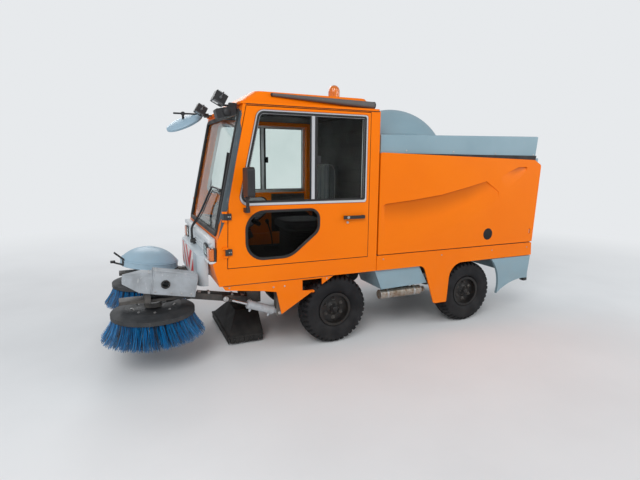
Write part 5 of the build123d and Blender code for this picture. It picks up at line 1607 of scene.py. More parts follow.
@dataclass
class Seat:
    """The driver's seat: swelled cushions with piping, a rubber bellows and a belt. Sizes in millimetres."""

    half_width: float = 232.0
    base: tuple[tuple[float, float], ...] = ((-156, 904), (296, 904), (296, 996), (-156, 996))
    back: tuple[tuple[float, float], ...] = ((-196, 1026), (-116, 1026), (-116, 1514), (-196, 1514))
    voxel: float = 0.006
    swell: float = 0.010
    pressure: float = 4.0
    frames: int = 16

    def build(self) -> None:
        """Builds the cushions, then what is round them."""
        both = self.cushion(self.base, 0.010).plus(self.cushion(self.back, 0.010))
        pads = piece("cushions", both, "chassis", CLOTH, "seat_fabric", ("seat_pads",), 180.0)
        self.swelled(pads)
        fixed(
            "chassis",
            ("seat_piping", self.piping(), SEAL, "seat_fabric"),
            ("seat_bellows", self.bellows(), SEAL, "black_plastic"),
            ("seat_belt", self.belt(), MAT, "seat_fabric"),
        )

    def cushion(self, outline: object, shrink: float) -> Shape:
        """A cushion before it swells: a superellipse block drawn in a little, crowned on its wide faces.

        Args:
            outline: the side view's corners in millimetres.
            shrink: how much smaller it starts, in metres.

        Returns:
            The closed form.
        """
        corners = np.array(outline, float)
        low = at((corners[:, 0].min(), -self.half_width, corners[:, 1].min())) + shrink
        high = at((corners[:, 0].max(), self.half_width, corners[:, 1].max())) - shrink
        rise = np.linspace(-np.pi / 2, np.pi / 2, 33)[:, None]
        turn = turns(96)[None]
        soft = 0.36

        def power(value: np.ndarray) -> np.ndarray:
            """A signed power that squares off a ball."""
            return np.sign(value) * np.abs(value) ** soft

        ball = np.stack(
            np.broadcast_arrays(
                power(np.cos(rise)) * power(np.cos(turn)), power(np.cos(rise)) * power(np.sin(turn)),
                power(np.sin(rise)),
            ),
            -1,
        )
        return skin((low + high) / 2 + ball * (high - low) / 2)

    def swelled(self, pads: bpy.types.Object) -> None:
        """Swells the pads by a short cloth simulation with inner pressure, then keeps the result in the mesh.

        Args:
            pads: the object, whose mesh is replaced.
        """
        scene = bpy.context.scene
        work = bpy.data.objects.new("pad_work", pads.data.copy())
        scene.collection.objects.link(work)
        remesh = work.modifiers.new("remesh", "REMESH")
        remesh.mode, remesh.voxel_size = "VOXEL", self.voxel
        remeshed = bpy.data.meshes.new_from_object(work.evaluated_get(bpy.context.evaluated_depsgraph_get()))
        work.modifiers.clear()
        work.data = remeshed
        start = np.array([v.co[:] for v in remeshed.vertices])
        cloth = work.modifiers.new("cloth", "CLOTH")
        cloth.settings.use_pressure = True
        cloth.settings.uniform_pressure_force = self.pressure
        cloth.settings.effector_weights.gravity = 0.0
        cloth.point_cache.frame_start, cloth.point_cache.frame_end = 1, self.frames
        for frame_number in range(1, self.frames + 1):
            scene.frame_set(frame_number)
        settled = bpy.data.meshes.new_from_object(work.evaluated_get(bpy.context.evaluated_depsgraph_get()))
        moved = np.array([v.co[:] for v in settled.vertices]) - start
        far = np.linalg.norm(moved, axis=1, keepdims=True)
        kept = start + moved * np.minimum(1, self.swell / np.maximum(far, 1e-9))
        low, high = (np.array(corner) + inset for corner, inset in zip(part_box("seat_pads"), (0.001, -0.001)))
        kept = self.channelled(np.clip(kept, low, high))
        settled.vertices.foreach_set("co", kept.ravel())
        settled.attributes.new("tone", "FLOAT", "POINT")
        settled.materials.clear()
        settled.materials.append(CLOTH.material())
        settled.shade_smooth()
        pads.data = settled
        bpy.data.objects.remove(work)
        scene.frame_set(1)

    def channelled(self, points: np.ndarray) -> np.ndarray:
        """Sews shallow channels: points sink towards the pad's middle near four lines along each pad.

        Args:
            points: the swelled points in metres.

        Returns:
            The points with channels.
        """
        depth = np.zeros(len(points))
        for line in (-0.135, -0.045, 0.045, 0.135):
            depth += 0.005 * np.exp(-(((points[:, 1] - line) / 0.006) ** 2))
        sunk = points.copy()
        on_base = points[:, 2] < 1.01
        wide = np.abs(points[:, 1]) < 0.19
        sunk[:, 2] -= np.where(on_base & wide & (points[:, 2] > 0.96), depth, 0)
        front = points[:, 0] > at((-130, 0, 0))[0]
        sunk[:, 0] -= np.where(~on_base & wide & front, depth, 0)
        return sunk

    def piping(self) -> Shape:
        """Piping round the seat's and the back's edges."""
        half = self.half_width - 14
        seat = rounded(((-146, -half), (286, -half), (286, half), (-146, half)), 40, 8)
        flat = at(np.column_stack([seat, np.full(len(seat), 988.0)]))
        back = rounded(((-half, 1036), (half, 1036), (half, 1504), (-half, 1504)), 50, 8)
        upright = facing(back, -122.0)
        return carried(flat, ring(0.0038, 8), closed=True).plus(
            carried(upright, ring(0.0038, 8), closed=True)
        )

    def bellows(self) -> Shape:
        """The bellows round the seat's stand: a rounded outline whose size swings with height like a wave."""
        height = np.linspace(664, 884, 56)
        grow = 8 + 6 * np.sin(height / 220 * 2 * np.pi * 8)
        base = rounded(((-160, -170), (220, -170), (220, 170), (-160, 170)), 26, 6)
        middle_point = base.mean(0)
        rows = []
        for z, out in zip(height, grow):
            flat = base + unit(base - middle_point) * out
            rows.append(at(np.column_stack([flat, np.full(len(flat), z)])))
        return skin(np.stack(rows), capped=False)

    def belt(self) -> Shape:
        """The belt's strap and its buckle."""
        strap = carried(
            smooth_path(at(((-175, -236, 880), (-120, -240, 960), (-60, -238, 1012), (40, -232, 1014)))),
            bar(0.002, 0.046, 0.2),
        )
        return strap.plus(box_of((-60, 236, 940), (-20, 252, 1030), 4))


@dataclass
class Dash:
    """The binnacle, its blank dials, switches, steering wheel and pedals. Sizes in millimetres."""

    hub: tuple[float, float, float] = (627.1, 0.0, 1060.0)
    tilt: tuple[float, float, float] = (-0.55, 0.0, 0.83)
    wheel_radius: float = 177.0
    rim: float = 18.5

    def build(self) -> None:
        """Builds the dash's fittings."""
        fixed(
            "chassis",
            ("binnacle", self.binnacle(), PLASTIC, "black_plastic"),
            ("dial_faces", self.dials(), DIAL, "black_plastic"),
            ("wheel_rim", self.wheel(), MAT, "black_plastic"),
            ("switches", self.switches(), PLASTIC, "black_plastic", (), 25.0),
            ("pedals", self.pedals(), MAT, "black_plastic"),
        )

    def binnacle(self) -> Shape:
        """The hooded box over the dials and a narrow box left of it."""
        hood = tilted(box_of((700, -165, 968), (850, 165, 1060), 20), at((775, 0, 1020)), 14)
        return hood.plus(box_of((664, 190, 935), (702, 440, 990), 10))

    def dials(self) -> Shape:
        """Three round dials, dark discs with a raised ring and no marks."""
        face = turned(
            ((-4, 0.1), (-4, 34), (5, 34), (5, 30), (2, 29), (2, 0.2)), (0, 0, 0), (-0.97, 0, 0.242), 32,
        )
        return face.scattered(at([(703.0, y, 1040.0) for y in (-95, 0, 95)]))

    def wheel(self) -> Shape:
        """The steering wheel: a padded rim with finger waves, four spokes and a domed boss."""
        axis = unit(np.array(self.tilt))
        side = np.array((0.0, 1.0, 0.0))
        forward = np.cross(side, axis)
        centre = at(self.hub)
        turn = turns(120)[:, None]
        path = centre + self.wheel_radius / 1000 * (np.cos(turn) * side + np.sin(turn) * forward)
        rim = carried(path, ring(self.rim / 1000, 14), closed=True, scale=1 + 0.025 * np.sin(turn[:, 0] * 24))
        boss = turned(((-18, 0.1), (-18, 46), (8, 46), (18, 38), (23, 20), (24, 0.2)), centre, axis, 36)
        shapes = [boss]
        reach = np.linspace(0.03, 0.172, 9)[:, None]
        for angle in np.pi / 2 * np.arange(4):
            way = np.cos(angle) * side + np.sin(angle) * forward
            run = centre + reach * way - 0.002 * np.sin(np.pi * reach / 0.2) * axis
            shapes.append(carried(run, bar(0.036, 0.029, 0.4)))
        return rim.plus(*shapes)

    def switches(self) -> Shape:
        """Two rows of rocker switches, vents and the lever for the hopper."""
        rocker = box_of((706, -320, 978), (730, -296, 995), 3)
        rows = rocker.scattered(
            [(0, 0.03 * k, 0) for k in range(4)] + [(0, 0.52 + 0.03 * k, 0) for k in range(4)]
        )
        vent = turned(((0, 0.1), (0, 34), (8, 34), (8, 26), (3, 25), (3, 0.2)), (0, 0, 0), (-0.1, 0, 1), 28)
        vents = vent.scattered(at([(840, y, 1001) for y in (-430, -300, 300, 430)]))
        lever = rod(((250, -300, 655), (262, -300, 800), (300, -296, 930)), 7).plus(
            turned(
                ((-20, 0.1), (-20, 12), (0, 19), (16, 19), (26, 10), (27, 0.2)), at((303, -296, 936)),
                (0.3, 0, 1), 20,
            )
        )
        return rows.plus(vents, lever, box_of((190, -340, 647), (330, -255, 700), 10))

    def pedals(self) -> Shape:
        """Three pedal plates on their arms."""
        pad = tilted(box_of((690, -38, 700), (700, 38, 770), 4), at((695, 0, 735)), 25)
        arm = rod(((700, 0, 738), (738, 0, 756), (784, 0, 764)), 7, 10)
        return pad.plus(arm).scattered(((0, -0.15, 0), (0, 0.10, 0), (0, 0.22, 0)))


@dataclass
class Lamps:
    """Front, rear and corner lamps. Sizes in millimetres."""

    face: float = 1022.0
    headlamp: tuple[float, float, float, float] = (426.0, 558.0, 810.0, 902.0)
    amber: tuple[float, float, float, float] = (571.0, 679.0, 798.0, 890.0)
    tail: tuple[float, float, float, float] = (500.0, 620.0, 445.0, 515.0)
    tail_face: float = -2150.0

    def build(self) -> None:
        """Builds the lamps that stand for the CAD's plain ones."""
        fixed(
            "chassis",
            ("lamp_housings", self.housings().both(), PLASTIC, "black_plastic", ("lamps",)),
            ("amber_lenses", self.ambers().both(), AMBER, "lamp_lens"),
            ("headlamp_bowls", self.bowls().both(), CHROME, "chromed_rod"),
            ("headlamp_lenses", self.lenses().both(), GLASS, "clear_glass"),
            ("tail_lenses", self.tails().both(), RED, "lamp_lens"),
        )

    def frame_loop(
        self, box: tuple[float, float, float, float], x: float, radius: float, width: float, depth: float,
    ) -> Shape:
        """A strip round a lamp that faces forwards or back.

        Args:
            box: the strip's middle line: low and high y, low and high z.
            x: its place ahead of the front axle.
            radius: its corners' radius.
            width: its width on the face.
            depth: its depth along the machine.

        Returns:
            The strip.
        """
        y0, y1, z0, z1 = box
        flat = rounded(((y0, z0), (y1, z0), (y1, z1), (y0, z1)), radius)
        path = facing(flat, x)
        return carried(path, bar(depth / 1000, width / 1000, 0.5), closed=True)

    def housings(self) -> Shape:
        """The black bezels, the corner lamp's dark back and the tail lamp's tray."""
        y0, y1, z0, z1 = self.headlamp
        a0, a1, b0, b1 = self.amber
        t0, t1, u0, u1 = self.tail
        head = self.frame_loop((y0 + 5, y1 - 5, z0 + 5, z1 - 5), self.face + 6, 12, 11, 14)
        back = box_of((self.face - 3, y0 + 2, z0 + 2), (self.face + 1, y1 - 2, z1 - 2), 3)
        corner = box_of((987, 633, b0 - 2), (1002, a1 + 0.8, b1 + 2), 5)
        seam = self.frame_loop((a0 - 1, a1 - 6, b0 - 1, b1 + 1), self.face + 2, 10, 5, 6)
        tray = box_of((self.tail_face - 7, t0 - 3, u0 - 3), (self.tail_face, t1 + 3, u1 + 3), 5)
        cap = turned(
            ((0, 0.1), (0, 12), (5, 11), (6, 0.2)), at((self.face + 4, (y0 + y1) / 2, (z0 + z1) / 2)),
            (1, 0, 0), 20,
        )
        return head.plus(back, corner, seam, tray, cap)

    def ambers(self) -> Shape:
        """The amber lamp that wraps round the panel's corner, its outer face stepped in ribs."""
        a0, a1, b0, b1 = self.amber
        body = box_of((999, a0, b0), (1038, a1, b1), 13)
        rib = box_of((1030, a0 + 9, b0 + 9), (1039.2, a1 - 16, b0 + 13), 2)
        return body.plus(rib.scattered([(0, 0, 0.0094 * k) for k in range(8)]))

    def lens_outline(self) -> np.ndarray:
        """The outline that the reflector and the clear cover share."""
        y0, y1, z0, z1 = self.headlamp
        return rounded(((y0 + 8, z0 + 8), (y1 - 8, z0 + 8), (y1 - 8, z1 - 8), (y0 + 8, z1 - 8)), 12)

    def bowls(self) -> Shape:
        """The reflector: its outline draws in as it goes back, by the square root of the depth's share."""
        flat = self.lens_outline()
        centre = flat.mean(0)
        rows = []
        for share in np.linspace(0, 1, 9):
            size = math.sqrt(1 - 0.96 * share)
            ring_flat = centre + (flat - centre) * size
            rows.append(facing(ring_flat, self.face + 9.5 - 8 * share))
        return skin(np.stack(rows))

    def lenses(self) -> Shape:
        """The headlamp's clear cover, a shallow pillow."""
        flat = self.lens_outline()
        centre = flat.mean(0)
        rows = []
        for size, x in ((1.0, 9.6), (1.0, 10.8), (0.9, 11.8), (0.6, 12.6), (0.2, 13.0)):
            rows.append(facing(centre + (flat - centre) * size, self.face + x))
        return skin(np.stack(rows))

    def tails(self) -> Shape:
        """Three lens blocks in a row and a round reflector beside them."""
        t0, t1, u0, u1 = self.tail
        width = (t1 - t0 - 4) / 3
        one = box_of(
            (self.tail_face - 14.2, t0 + 1, u0 + 1), (self.tail_face - 5, t0 + 1 + width - 1, u1 - 1), 4,
        )
        row = one.scattered([(0, (width + 1) * k / 1000, 0) for k in range(3)])
        disc = turned(
            ((-2, 0.1), (-2, 27), (5, 27), (8, 23), (8.5, 0.2)), at((self.tail_face, 410, 480)), (-1, 0, 0),
            32,
        )
        return row.plus(disc)


@dataclass
class Roof:
    """What stands on the roof and hangs at its front. Sizes in millimetres."""

    beacon: tuple[float, float, float] = (-230.0, 60.0, 2016.0)
    lamp: tuple[float, float, float] = (880.0, 420.0, 1970.0)
    lamp_turn: float = 62.0
    dish: tuple[float, float, float] = (1006.0, -560.0, 1856.0)
    dish_side: tuple[float, float, float] = (0.902, 0.0, -0.431)
    dish_up: tuple[float, float, float] = (0.39, 0.42, 0.82)
    tube: tuple = ((540, 615.1, 1994), (-300, 650.9, 1959))

    def build(self) -> None:
        """Builds the roof's fittings."""
        fixed(
            "chassis",
            ("beacon_base", self.base(), PLASTIC, "black_plastic"),
            ("beacon_hood", self.hood(), BEACON_LENS, "lamp_lens", ("beacon",)),
            ("work_lamp_lenses", self.work_lenses().both(), CLEAR_LENS, "clear_glass"),
            ("work_lamp_parts", self.work_parts().both(), DARK_GREY, "grey_plastic"),
            ("mirror_shell_front", self.dish_shell(), COVER_RIGHT, "grey_plastic"),
            ("mirror_face_front", self.dish_face(), MIRROR, "chromed_rod"),
            ("roof_trims", self.trims(), PLASTIC, "black_plastic"),
            ("gutter_bead", self.bead().both(), SEAL, "black_plastic"),
        )

    def base(self) -> Shape:
        """The beacon's rubber foot, its socket and three screws."""
        foot = turned(
            ((0, 0.1), (0, 60), (5, 60), (9, 50), (26, 46), (38, 51), (44, 52), (44, 0.2)), at(self.beacon),
            (0, 0, 1), 40,
        )
        turn = np.radians((20, 140, 260))
        places = at(self.beacon) + level(turn, 0.054) + (0, 0, 0.006)
        return foot.plus(screws(places, (0, 0, 1), 4.5, 3))

    def hood(self) -> Shape:
        """The beacon's hood: a cylinder and a dome whose radius swells and sinks twenty-four times round."""
        height = np.concatenate([np.linspace(42, 128, 12), 130 + 50 * np.sin(np.linspace(0, np.pi / 2, 12))])
        radius = np.concatenate(
            [np.linspace(50, 50.4, 12), np.maximum(50 * np.cos(np.linspace(0, np.pi / 2, 12)), 0.6)]
        )
        turn = turns(192)[None]
        ribbed = np.where(height < 150, 0.014, 0.004)[:, None]
        size = radius[:, None] / 1000 * (1 + ribbed * np.cos(24 * turn))
        up = np.broadcast_to(height[:, None] / 1000, size.shape)
        rows = at(self.beacon) + np.stack([size * np.cos(turn), size * np.sin(turn), up], -1)
        return skin(rows)

    def turned_down(self, shape: Shape) -> Shape:
        """A part of the left work lamp, leant as the lamp is."""
        return tilted(shape, at(self.lamp), self.lamp_turn)

    def work_lenses(self) -> Shape:
        """The work lamp's lens, a pillow on its lower face."""
        x, y, z = self.lamp
        return self.turned_down(box_of((x + 33, y - 43, z - 37), (x + 41, y + 43, z + 37), 4))

    def work_parts(self) -> Shape:
        """The work lamp's bezel, its fins, its bracket and the two knobs."""
        x, y, z = self.lamp
        flat = rounded(((y - 48, z - 42), (y + 48, z - 42), (y + 48, z + 42), (y - 48, z + 42)), 10)
        bezel = carried(facing(flat, x + 37), bar(0.012, 0.010, 0.5), closed=True)
        fin = box_of((x - 45, y - 44, z - 34), (x - 35, y + 44, z - 31), 1.4)
        fins = fin.scattered([(0, 0, 0.0113 * k) for k in range(7)])
        round_knob = ((0, 0.1), (0, 11), (8, 11), (10, 8), (10.5, 0.2))
        knob, other = (turned(round_knob, at((x, y + 52 * way, z)), (0, way, 0), 8) for way in (1, -1))
        stirrup = rod(
            (
                (x, y - 57, z), (x - 30, y - 57, z - 2), (x - 47, y - 40, z - 4), (x - 47, y + 40, z - 4),
                (x - 30, y + 57, z - 2), (x, y + 57, z),
            ),
            4, 8,
        )
        return self.turned_down(bezel.plus(fins, knob, other, stirrup))

    def dish_points(self, size: object, height: object, steps: int = 72) -> np.ndarray:
        """Ellipses over the wide mirror's plane.

        Args:
            size: rows of the two half axes in millimetres.
            height: each ellipse's height over the plane.
            steps: points an ellipse.

        Returns:
            Rows of points in metres.
        """
        side, up = unit(np.array(self.dish_side)), unit(np.array(self.dish_up))
        across = np.cross(up, side)
        turn = turns(steps)[None, :, None]
        size = np.asarray(size, float)[:, None] / 1000
        height = np.asarray(height, float)[:, None, None] / 1000
        wide = size[..., :1] * np.cos(turn) * side
        tall = size[..., 1:] * np.sin(turn) * across
        return at(self.dish) + wide + tall + height * up

    def dish_shell(self) -> Shape:
        """The wide mirror's shell: half a flattened ball on a short rim."""
        share = np.concatenate([np.ones(3), np.sin(np.linspace(np.pi / 2, 0.04, 16))])
        height = np.concatenate([(-2, 3, 13), 15 + 25 * (1 - share[3:] ** 2) ** 0.6])
        return skin(self.dish_points(share[:, None] * (175, 103), height))

    def dish_face(self) -> Shape:
        """The wide mirror's glass, bulged outwards under the shell."""
        share = np.sin(np.linspace(np.pi / 2, 0.05, 10))
        return skin(self.dish_points(share[:, None] * (167, 95), -2.2 - 9 * (1 - share**2)))

    def trims(self) -> Shape:
        """The roof tube's stays and end caps, the wiper motor's fittings and the wide mirror's joint."""
        front, back = at(self.tube[0]), at(self.tube[1])
        axis = unit(back - front)
        shapes = []
        for share in (0.12, 0.5, 0.88):
            radius = 12 + 16 * share
            place = front + share * (back - front)
            shapes.append(
                block(
                    place + (-0.009, -radius / 1000 - 0.022, -0.006),
                    place + (0.009, -radius / 1000 + 0.004, 0.006), 0.003,
                )
            )
        shapes.append(
            turned(((-2, 0.1), (-2, 29.5), (4, 29.5), (9, 24), (12, 10), (12.5, 0.2)), back, axis, 32)
        )
        shapes.append(turned(((-6, 0.2), (-5, 8), (0, 13), (5, 13.4), (5, 0.1)), front, axis, 24))
        motor = at((868, 550, 1856))
        can = turned(((46, 0.1), (46, 26), (66, 25), (72, 18), (73, 0.2)), motor, (0, 1, 0), 28)
        lid = tilted(
            block(motor + (-0.066, -0.040, 0.030), motor + (0.066, 0.040, 0.036), 0.004), motor, 13.6,
        )
        heads = tilted(
            screws(
                motor + np.array([(x, y, 0.036) for x in (-0.056, 0.056) for y in (-0.031, 0.031)]),
                (0, 0, 1), 4.5, 3,
            ),
            motor, 13.6,
        )
        lower = tilted(
            block(motor + (-0.070, -0.044, -0.022), motor + (0.070, 0.044, -0.018), 0.002), motor, 13.6,
        )
        joint = turned(
            ((-16, 0.1), (-16, 14), (-6, 19), (6, 19), (16, 14), (16, 0.1)), at((1020, -560, 1944)),
            (0, 1, 0), 24,
        )
        nut = turned(((0, 0.1), (0, 13), (12, 13), (12, 0.1)), at((820, -560, 1944)), (1, 0, 0), 6)
        return joined([*shapes, can, lid, heads, lower, joint, nut])

    def bead(self) -> Shape:
        """The sealant beads under the gutter and along the roof cap, and a dark bead along the sill as a
        painted shadow line.
        """
        low = carried(at(((-340, 681, 1912), (240, 681, 1912.2), (750, 681, 1912))), ring(0.0035, 8))
        high = carried(at(((-330, 636, 1931), (240, 636, 1931.2), (760, 636, 1931))), ring(0.0035, 8))
        # Painted shadow: the sill bead is a dark line where the cab's lower band meets the skirt
        sill = carried(at(((50, 680.2, 606), (500, 680.3, 606), (946, 680.2, 606))), ring(0.0024, 8))
        return low.plus(high, sill)


@dataclass
class Covers:
    """Trim on the two brush covers and the fittings of the brush motors. Sizes in millimetres."""

    origin: tuple[float, float, float] = (1137.0, 450.0, 527.0)
    lean: float = 10.8
    dome: tuple[float, float, float] = (1391.0, -450.0, 568.0)
    dome_lean: float = 6.8
    motor: tuple[float, float] = (1420.0, 450.0)

    def build(self) -> None:
        """Builds both sides."""
        fixed(
            "carrier_left",
            ("cover_trim_left", self.box_trim(), SEAL, "black_plastic"),
            ("cover_beads_left", self.box_beads(), COVER_LEFT, "grey_plastic"),
            ("cover_screws_left", self.box_screws(), ZINC, "black_steel"),
        )
        fixed(
            "carrier_right",
            ("cover_trim_right", self.dome_trim(), COVER_RIGHT, "grey_plastic"),
            ("cover_rods_right", self.dome_rods(), PLASTIC, "black_plastic"),
        )
        sided(
            ("motor_parts", self.motor_parts(), "carrier", ZINC, "black_steel", (), 25.0),
            ("motor_pipes", self.motor_pipes(), "carrier", SEAL, "black_plastic"),
        )

    def on_box(self, points: object) -> np.ndarray:
        """Places on the left cover.

        Args:
            points: rows of millimetres along the cover, left of its middle, and up from its lower edge.

        Returns:
            The places in metres.
        """
        along, left, up = np.asarray(points, float).T
        cos, sin = math.cos(math.radians(self.lean)), math.sin(math.radians(self.lean))
        x, y, z = self.origin
        return at(np.stack([x + along * cos - up * sin, y + left, z + along * sin + up * cos], -1))

    def box_trim(self) -> Shape:
        """The rubber ring in the cover's hole and the edging along its lower rim."""
        ring_path = self.on_box([(218 + 27 * math.cos(a), 150, 78 + 27 * math.sin(a)) for a in turns(40)])
        hole = carried(ring_path, ring(0.0055, 10), closed=True)
        rim = [
            carried(self.on_box(((4, side, 0), (150, side, -0.3), (306, side, 0))), bar(0.010, 0.018, 0.5))
            for side in (143, -143)
        ]
        return hole.plus(*rim)

    def box_beads(self) -> Shape:
        """The moulded beads on the cover's edges, at its step and round its nose."""
        rear = ((150, 4), (150, 138), (128, 160), (10, 160), (-150, 70), (-150, 4))
        step = ((150, 4), (150, 112), (120, 140), (10, 140), (-150, 60), (-150, 4))
        shapes = []
        for along, outline, radius in ((4, rear, 5.0), (306, rear, 5.0), (314, step, 3.5)):
            path = self.on_box([(along + 0.01 * k, y, z) for k, (y, z) in enumerate(outline)])
            shapes.append(carried(path, ring(radius / 1000, 10)))
        for y, z in ((128, 160), (10, 160)):
            shapes.append(carried(self.on_box(((6, y, z), (150, y, z + 0.3), (306, y, z))), ring(0.0045, 10)))
        panel = rounded(((40, 30), (285, 30), (285, 90), (40, 90)), 16, 6)
        loop = self.on_box([(a, 60 + 68 * math.cos(math.radians(b)), 160.5) for a, b in panel])
        return joined(shapes).plus(carried(loop, ring(0.003, 8), closed=True))

    def box_screws(self) -> Shape:
        """Screws along the cover's side, top and nose."""
        side = screws(self.on_box([(a, 150.5, 20) for a in (30, 100, 170, 280)]), (0, 1, 0), 7, 4)
        top = screws(
            self.on_box([(a, y, 160) for a in (24, 290) for y in (30, 110)]), (-0.187, 0, 0.982), 7, 4,
        )
        nose = screws(
            self.on_box([(a, y, 139) for a, y in ((335, 20), (335, 105))]), (-0.187, 0, 0.982), 7, 4,
        )
        return side.plus(top, nose)

    def dome_trim(self) -> Shape:
        """The right cover's lip rings and its middle boss, leant with it."""
        lean = math.radians(self.dome_lean)
        axis = (-math.sin(lean), 0, math.cos(lean))
        centre = at(self.dome)
        lips = ((3, 248.5, 4.0), (50, 248.5, 3.5), (62, 239, 3.0))
        shapes = []
        for height, radius, thick in lips:
            turn = turns(12)
            profile = np.column_stack([height + thick * np.sin(turn), radius + thick * np.cos(turn)])
            shapes.append(turned(np.concatenate([profile, profile[:1]]), centre, axis, 96))
        boss = turned(((160, 0.1), (160, 46), (166, 44), (169, 34), (169.5, 0.2)), centre, axis, 40)
        return joined([*shapes, boss])

    def dome_rods(self) -> Shape:
        """Two stop rods on the right cover's front, a pad at their foot and one at the lower rod's end."""
        rods = rod(((1590, -350, 640), (1640, -350, 686), (1678, -350, 721)), 8).plus(
            rod(((1600, -352, 603), (1655, -352, 621), (1701, -352, 639)), 8)
        )
        foot_pad = box_of((1586, -372, 592), (1618, -330, 652), 8)
        end_pad = box_of((1672, -366, 628), (1712, -336, 650), 6)
        return rods.plus(foot_pad, end_pad)

    def motor_parts(self) -> Shape:
        """The brush motor's unions, its flange with nuts, and the bolt heads on the carrier's pivot."""
        x, y = self.motor
        hexes = turned(
            ((-4, 0.1), (-4, 13), (16, 13), (16, 9), (30, 9), (30, 0.1)), at((x - 60, y - 22, 480)),
            (-1, 0, 0), 6,
        )
        pair = hexes.scattered(((0, 0, 0), (0, 0.044, 0)))
        turn = np.radians(np.arange(0, 360, 60) + 30)
        places = at((x, y, 505)) + level(turn, 0.050) - (0, 0, 0.001)
        flange = turned(((0, 0.1), (0, 66), (7, 66), (7, 0.1)), at((x, y, 490)), (0, 0, 1), 48)
        nut = turned(((0, 0.1), (0, 8), (9, 8), (10, 5)), (0, 0, 0), (0, 0, -1), 6)
        nuts = nut.scattered(places - (0, 0, 0.016))
        pivot = screws(at([(1150, y + side * 47, 505) for side in (-1, 1)]), (0, 1, 0), 16, 6, 6)
        return pair.plus(flange, nuts, pivot)

    def motor_pipes(self) -> Shape:
        """Two pipes from the motor's unions back under the carrier's plate, and their clip."""
        x, y = self.motor
        pipes = [
            rod(
                (
                    (x - 88, y + side, 480), (x - 130, y + side, 484), (x - 176, y + side, 494),
                    (x - 228, y + side * 0.9, 495),
                ),
                7,
            )
            for side in (-22, 22)
        ]
        return pipes[0].plus(pipes[1], box_of((x - 205, y - 38, 486), (x - 185, y + 38, 504.6), 4))


@dataclass
class Hopper:
    """Screws, seals, cups and the tailgate's ribs and latches. Sizes in millimetres."""

    lid_y: float = 651.0
    screw_line: tuple = ((-630, 1613), (-1129, 1611), (-1620, 1604), (-2110, 1598))
    dome_middle: tuple[float, float] = (-860.0, 0.0)
    flange_z: float = 1754.0
    gate_x: float = -2183.0

    def build(self) -> None:
        """Builds what is fixed to the hopper and to its tailgate."""
        fixed(
            "hopper",
            ("lid_screws", self.lid_screws(), ZINC, "black_steel", (), 30.0),
            ("lid_seal", self.seal(), SEAL, "black_plastic"),
            ("panel_cups", self.cups().both(), RUBBER, "black_plastic"),
            ("panel_tongues", box_of((-2121, 668, 829), (-2115, 676, 871), 1.5).both(), ZINC, "black_steel"),
        )
        # Painted shade: the cups take the near-black tyre rubber so that the hole reads dark
        fixed(
            "tailgate",
            ("gate_ribs", self.ribs(), BLUE_GREY, "grey_paint"),
            ("gate_latches", self.latches(), ZINC, "black_steel", (), 30.0),
            ("gate_seal", self.gate_seal(), SEAL, "black_plastic"),
        )

    def lid_screws(self) -> Shape:
        """The screws along the lid's sides, round the dome's flange, and across the lid's front."""
        side = screws(at([(x, self.lid_y, z) for x, z in self.screw_line]), (0, 1, 0), 8, 4).both()
        turn = turns(24)
        x, y = self.dome_middle
        places = at(
            np.column_stack([x + 468 * np.cos(turn), y + 468 * np.sin(turn), np.full(24, self.flange_z)])
        )
        front = screws(at([(-378, y, 1640) for y in (-560, -280, 0, 280, 560)]), (1, 0, 0), 8, 4)
        return side.plus(screws(places, (0, 0, 1), 6, 3.5), front)

    def seal(self) -> Shape:
        """The rubber strips between the lid and the panels, and round the dome's foot."""
        strip = plate(
            ((-374, 1573), (-374, 1589.5), (-2146, 1589.5), (-2138, 1546)), 654.5, 657.5, 1.0,
        ).both()
        turn = turns(96)
        x, y = self.dome_middle
        path = at(
            np.column_stack(
                [x + 477 * np.cos(turn), y + 477 * np.sin(turn), 1739.5 + 8 * (1 - np.cos(turn)) / 2]
            )
        )
        return strip.plus(carried(path, ring(0.004, 8), closed=True))

    def cups(self) -> Shape:
        """The black cup in each side panel's round hole, and the finger bar across it. Their near-black finish
        is partly the cup's own black and partly painted shade in the hole.
        """
        profile = ((-11, 0.1), (-11, 36), (-3, 38), (5, 45), (8.5, 51), (10.6, 55), (11.8, 54), (12.4, 49))
        cup = turned(profile, at((-1572, 670, 852)), (0, 1, 0), 48)
        return cup.plus(box_of((-1612, 672, 844), (-1532, 679, 860), 4))

    def ribs(self) -> Shape:
        """Pressed ribs across the tailgate, and its stiffened edges."""
        rib = box_of((self.gate_x - 12, -570, 880), (self.gate_x + 2, 570, 924), 9)
        rows = rib.scattered([(0, 0, 0.135 * k) for k in range(5)])
        edges = box_of((self.gate_x - 9, 596, 806), (self.gate_x + 2, 640, 1560), 7).both()
        return rows.plus(edges, box_of((self.gate_x - 9, -596, 808), (self.gate_x + 2, 596, 842), 7))

    def latches(self) -> Shape:
        """Two over-centre latches with their pin heads at the tailgate's foot, and a grab handle."""
        y = 470
        latch = box_of((self.gate_x - 12.5, y - 22, 836), (self.gate_x - 4, y + 22, 878), 4)
        lever = box_of((self.gate_x - 14.8, y - 9, 846), (self.gate_x - 10.5, y + 9, 930), 2)
        pin = screws(at([(self.gate_x - 12, y, 866)]), (-1, 0, 0), 7, 2.6)
        x = self.gate_x
        handle = rod(
            (
                (x + 1, -150, 1470), (x - 10.6, -150, 1470), (x - 11.4, -130, 1470), (x - 11.4, 130, 1470),
                (x - 10.6, 150, 1470), (x + 1, 150, 1470),
            ),
            3.2, 10,
        )
        return latch.plus(lever, pin).both().plus(handle)

    def gate_seal(self) -> Shape:
        """The rubber round the tailgate's edge, on its hopper side."""
        flat = rounded(((-640, 808), (640, 808), (640, 1556), (-640, 1556)), 12)
        path = facing(flat, self.gate_x + 30.5)
        return carried(path, bar(0.004, 0.012, 0.5), closed=True)


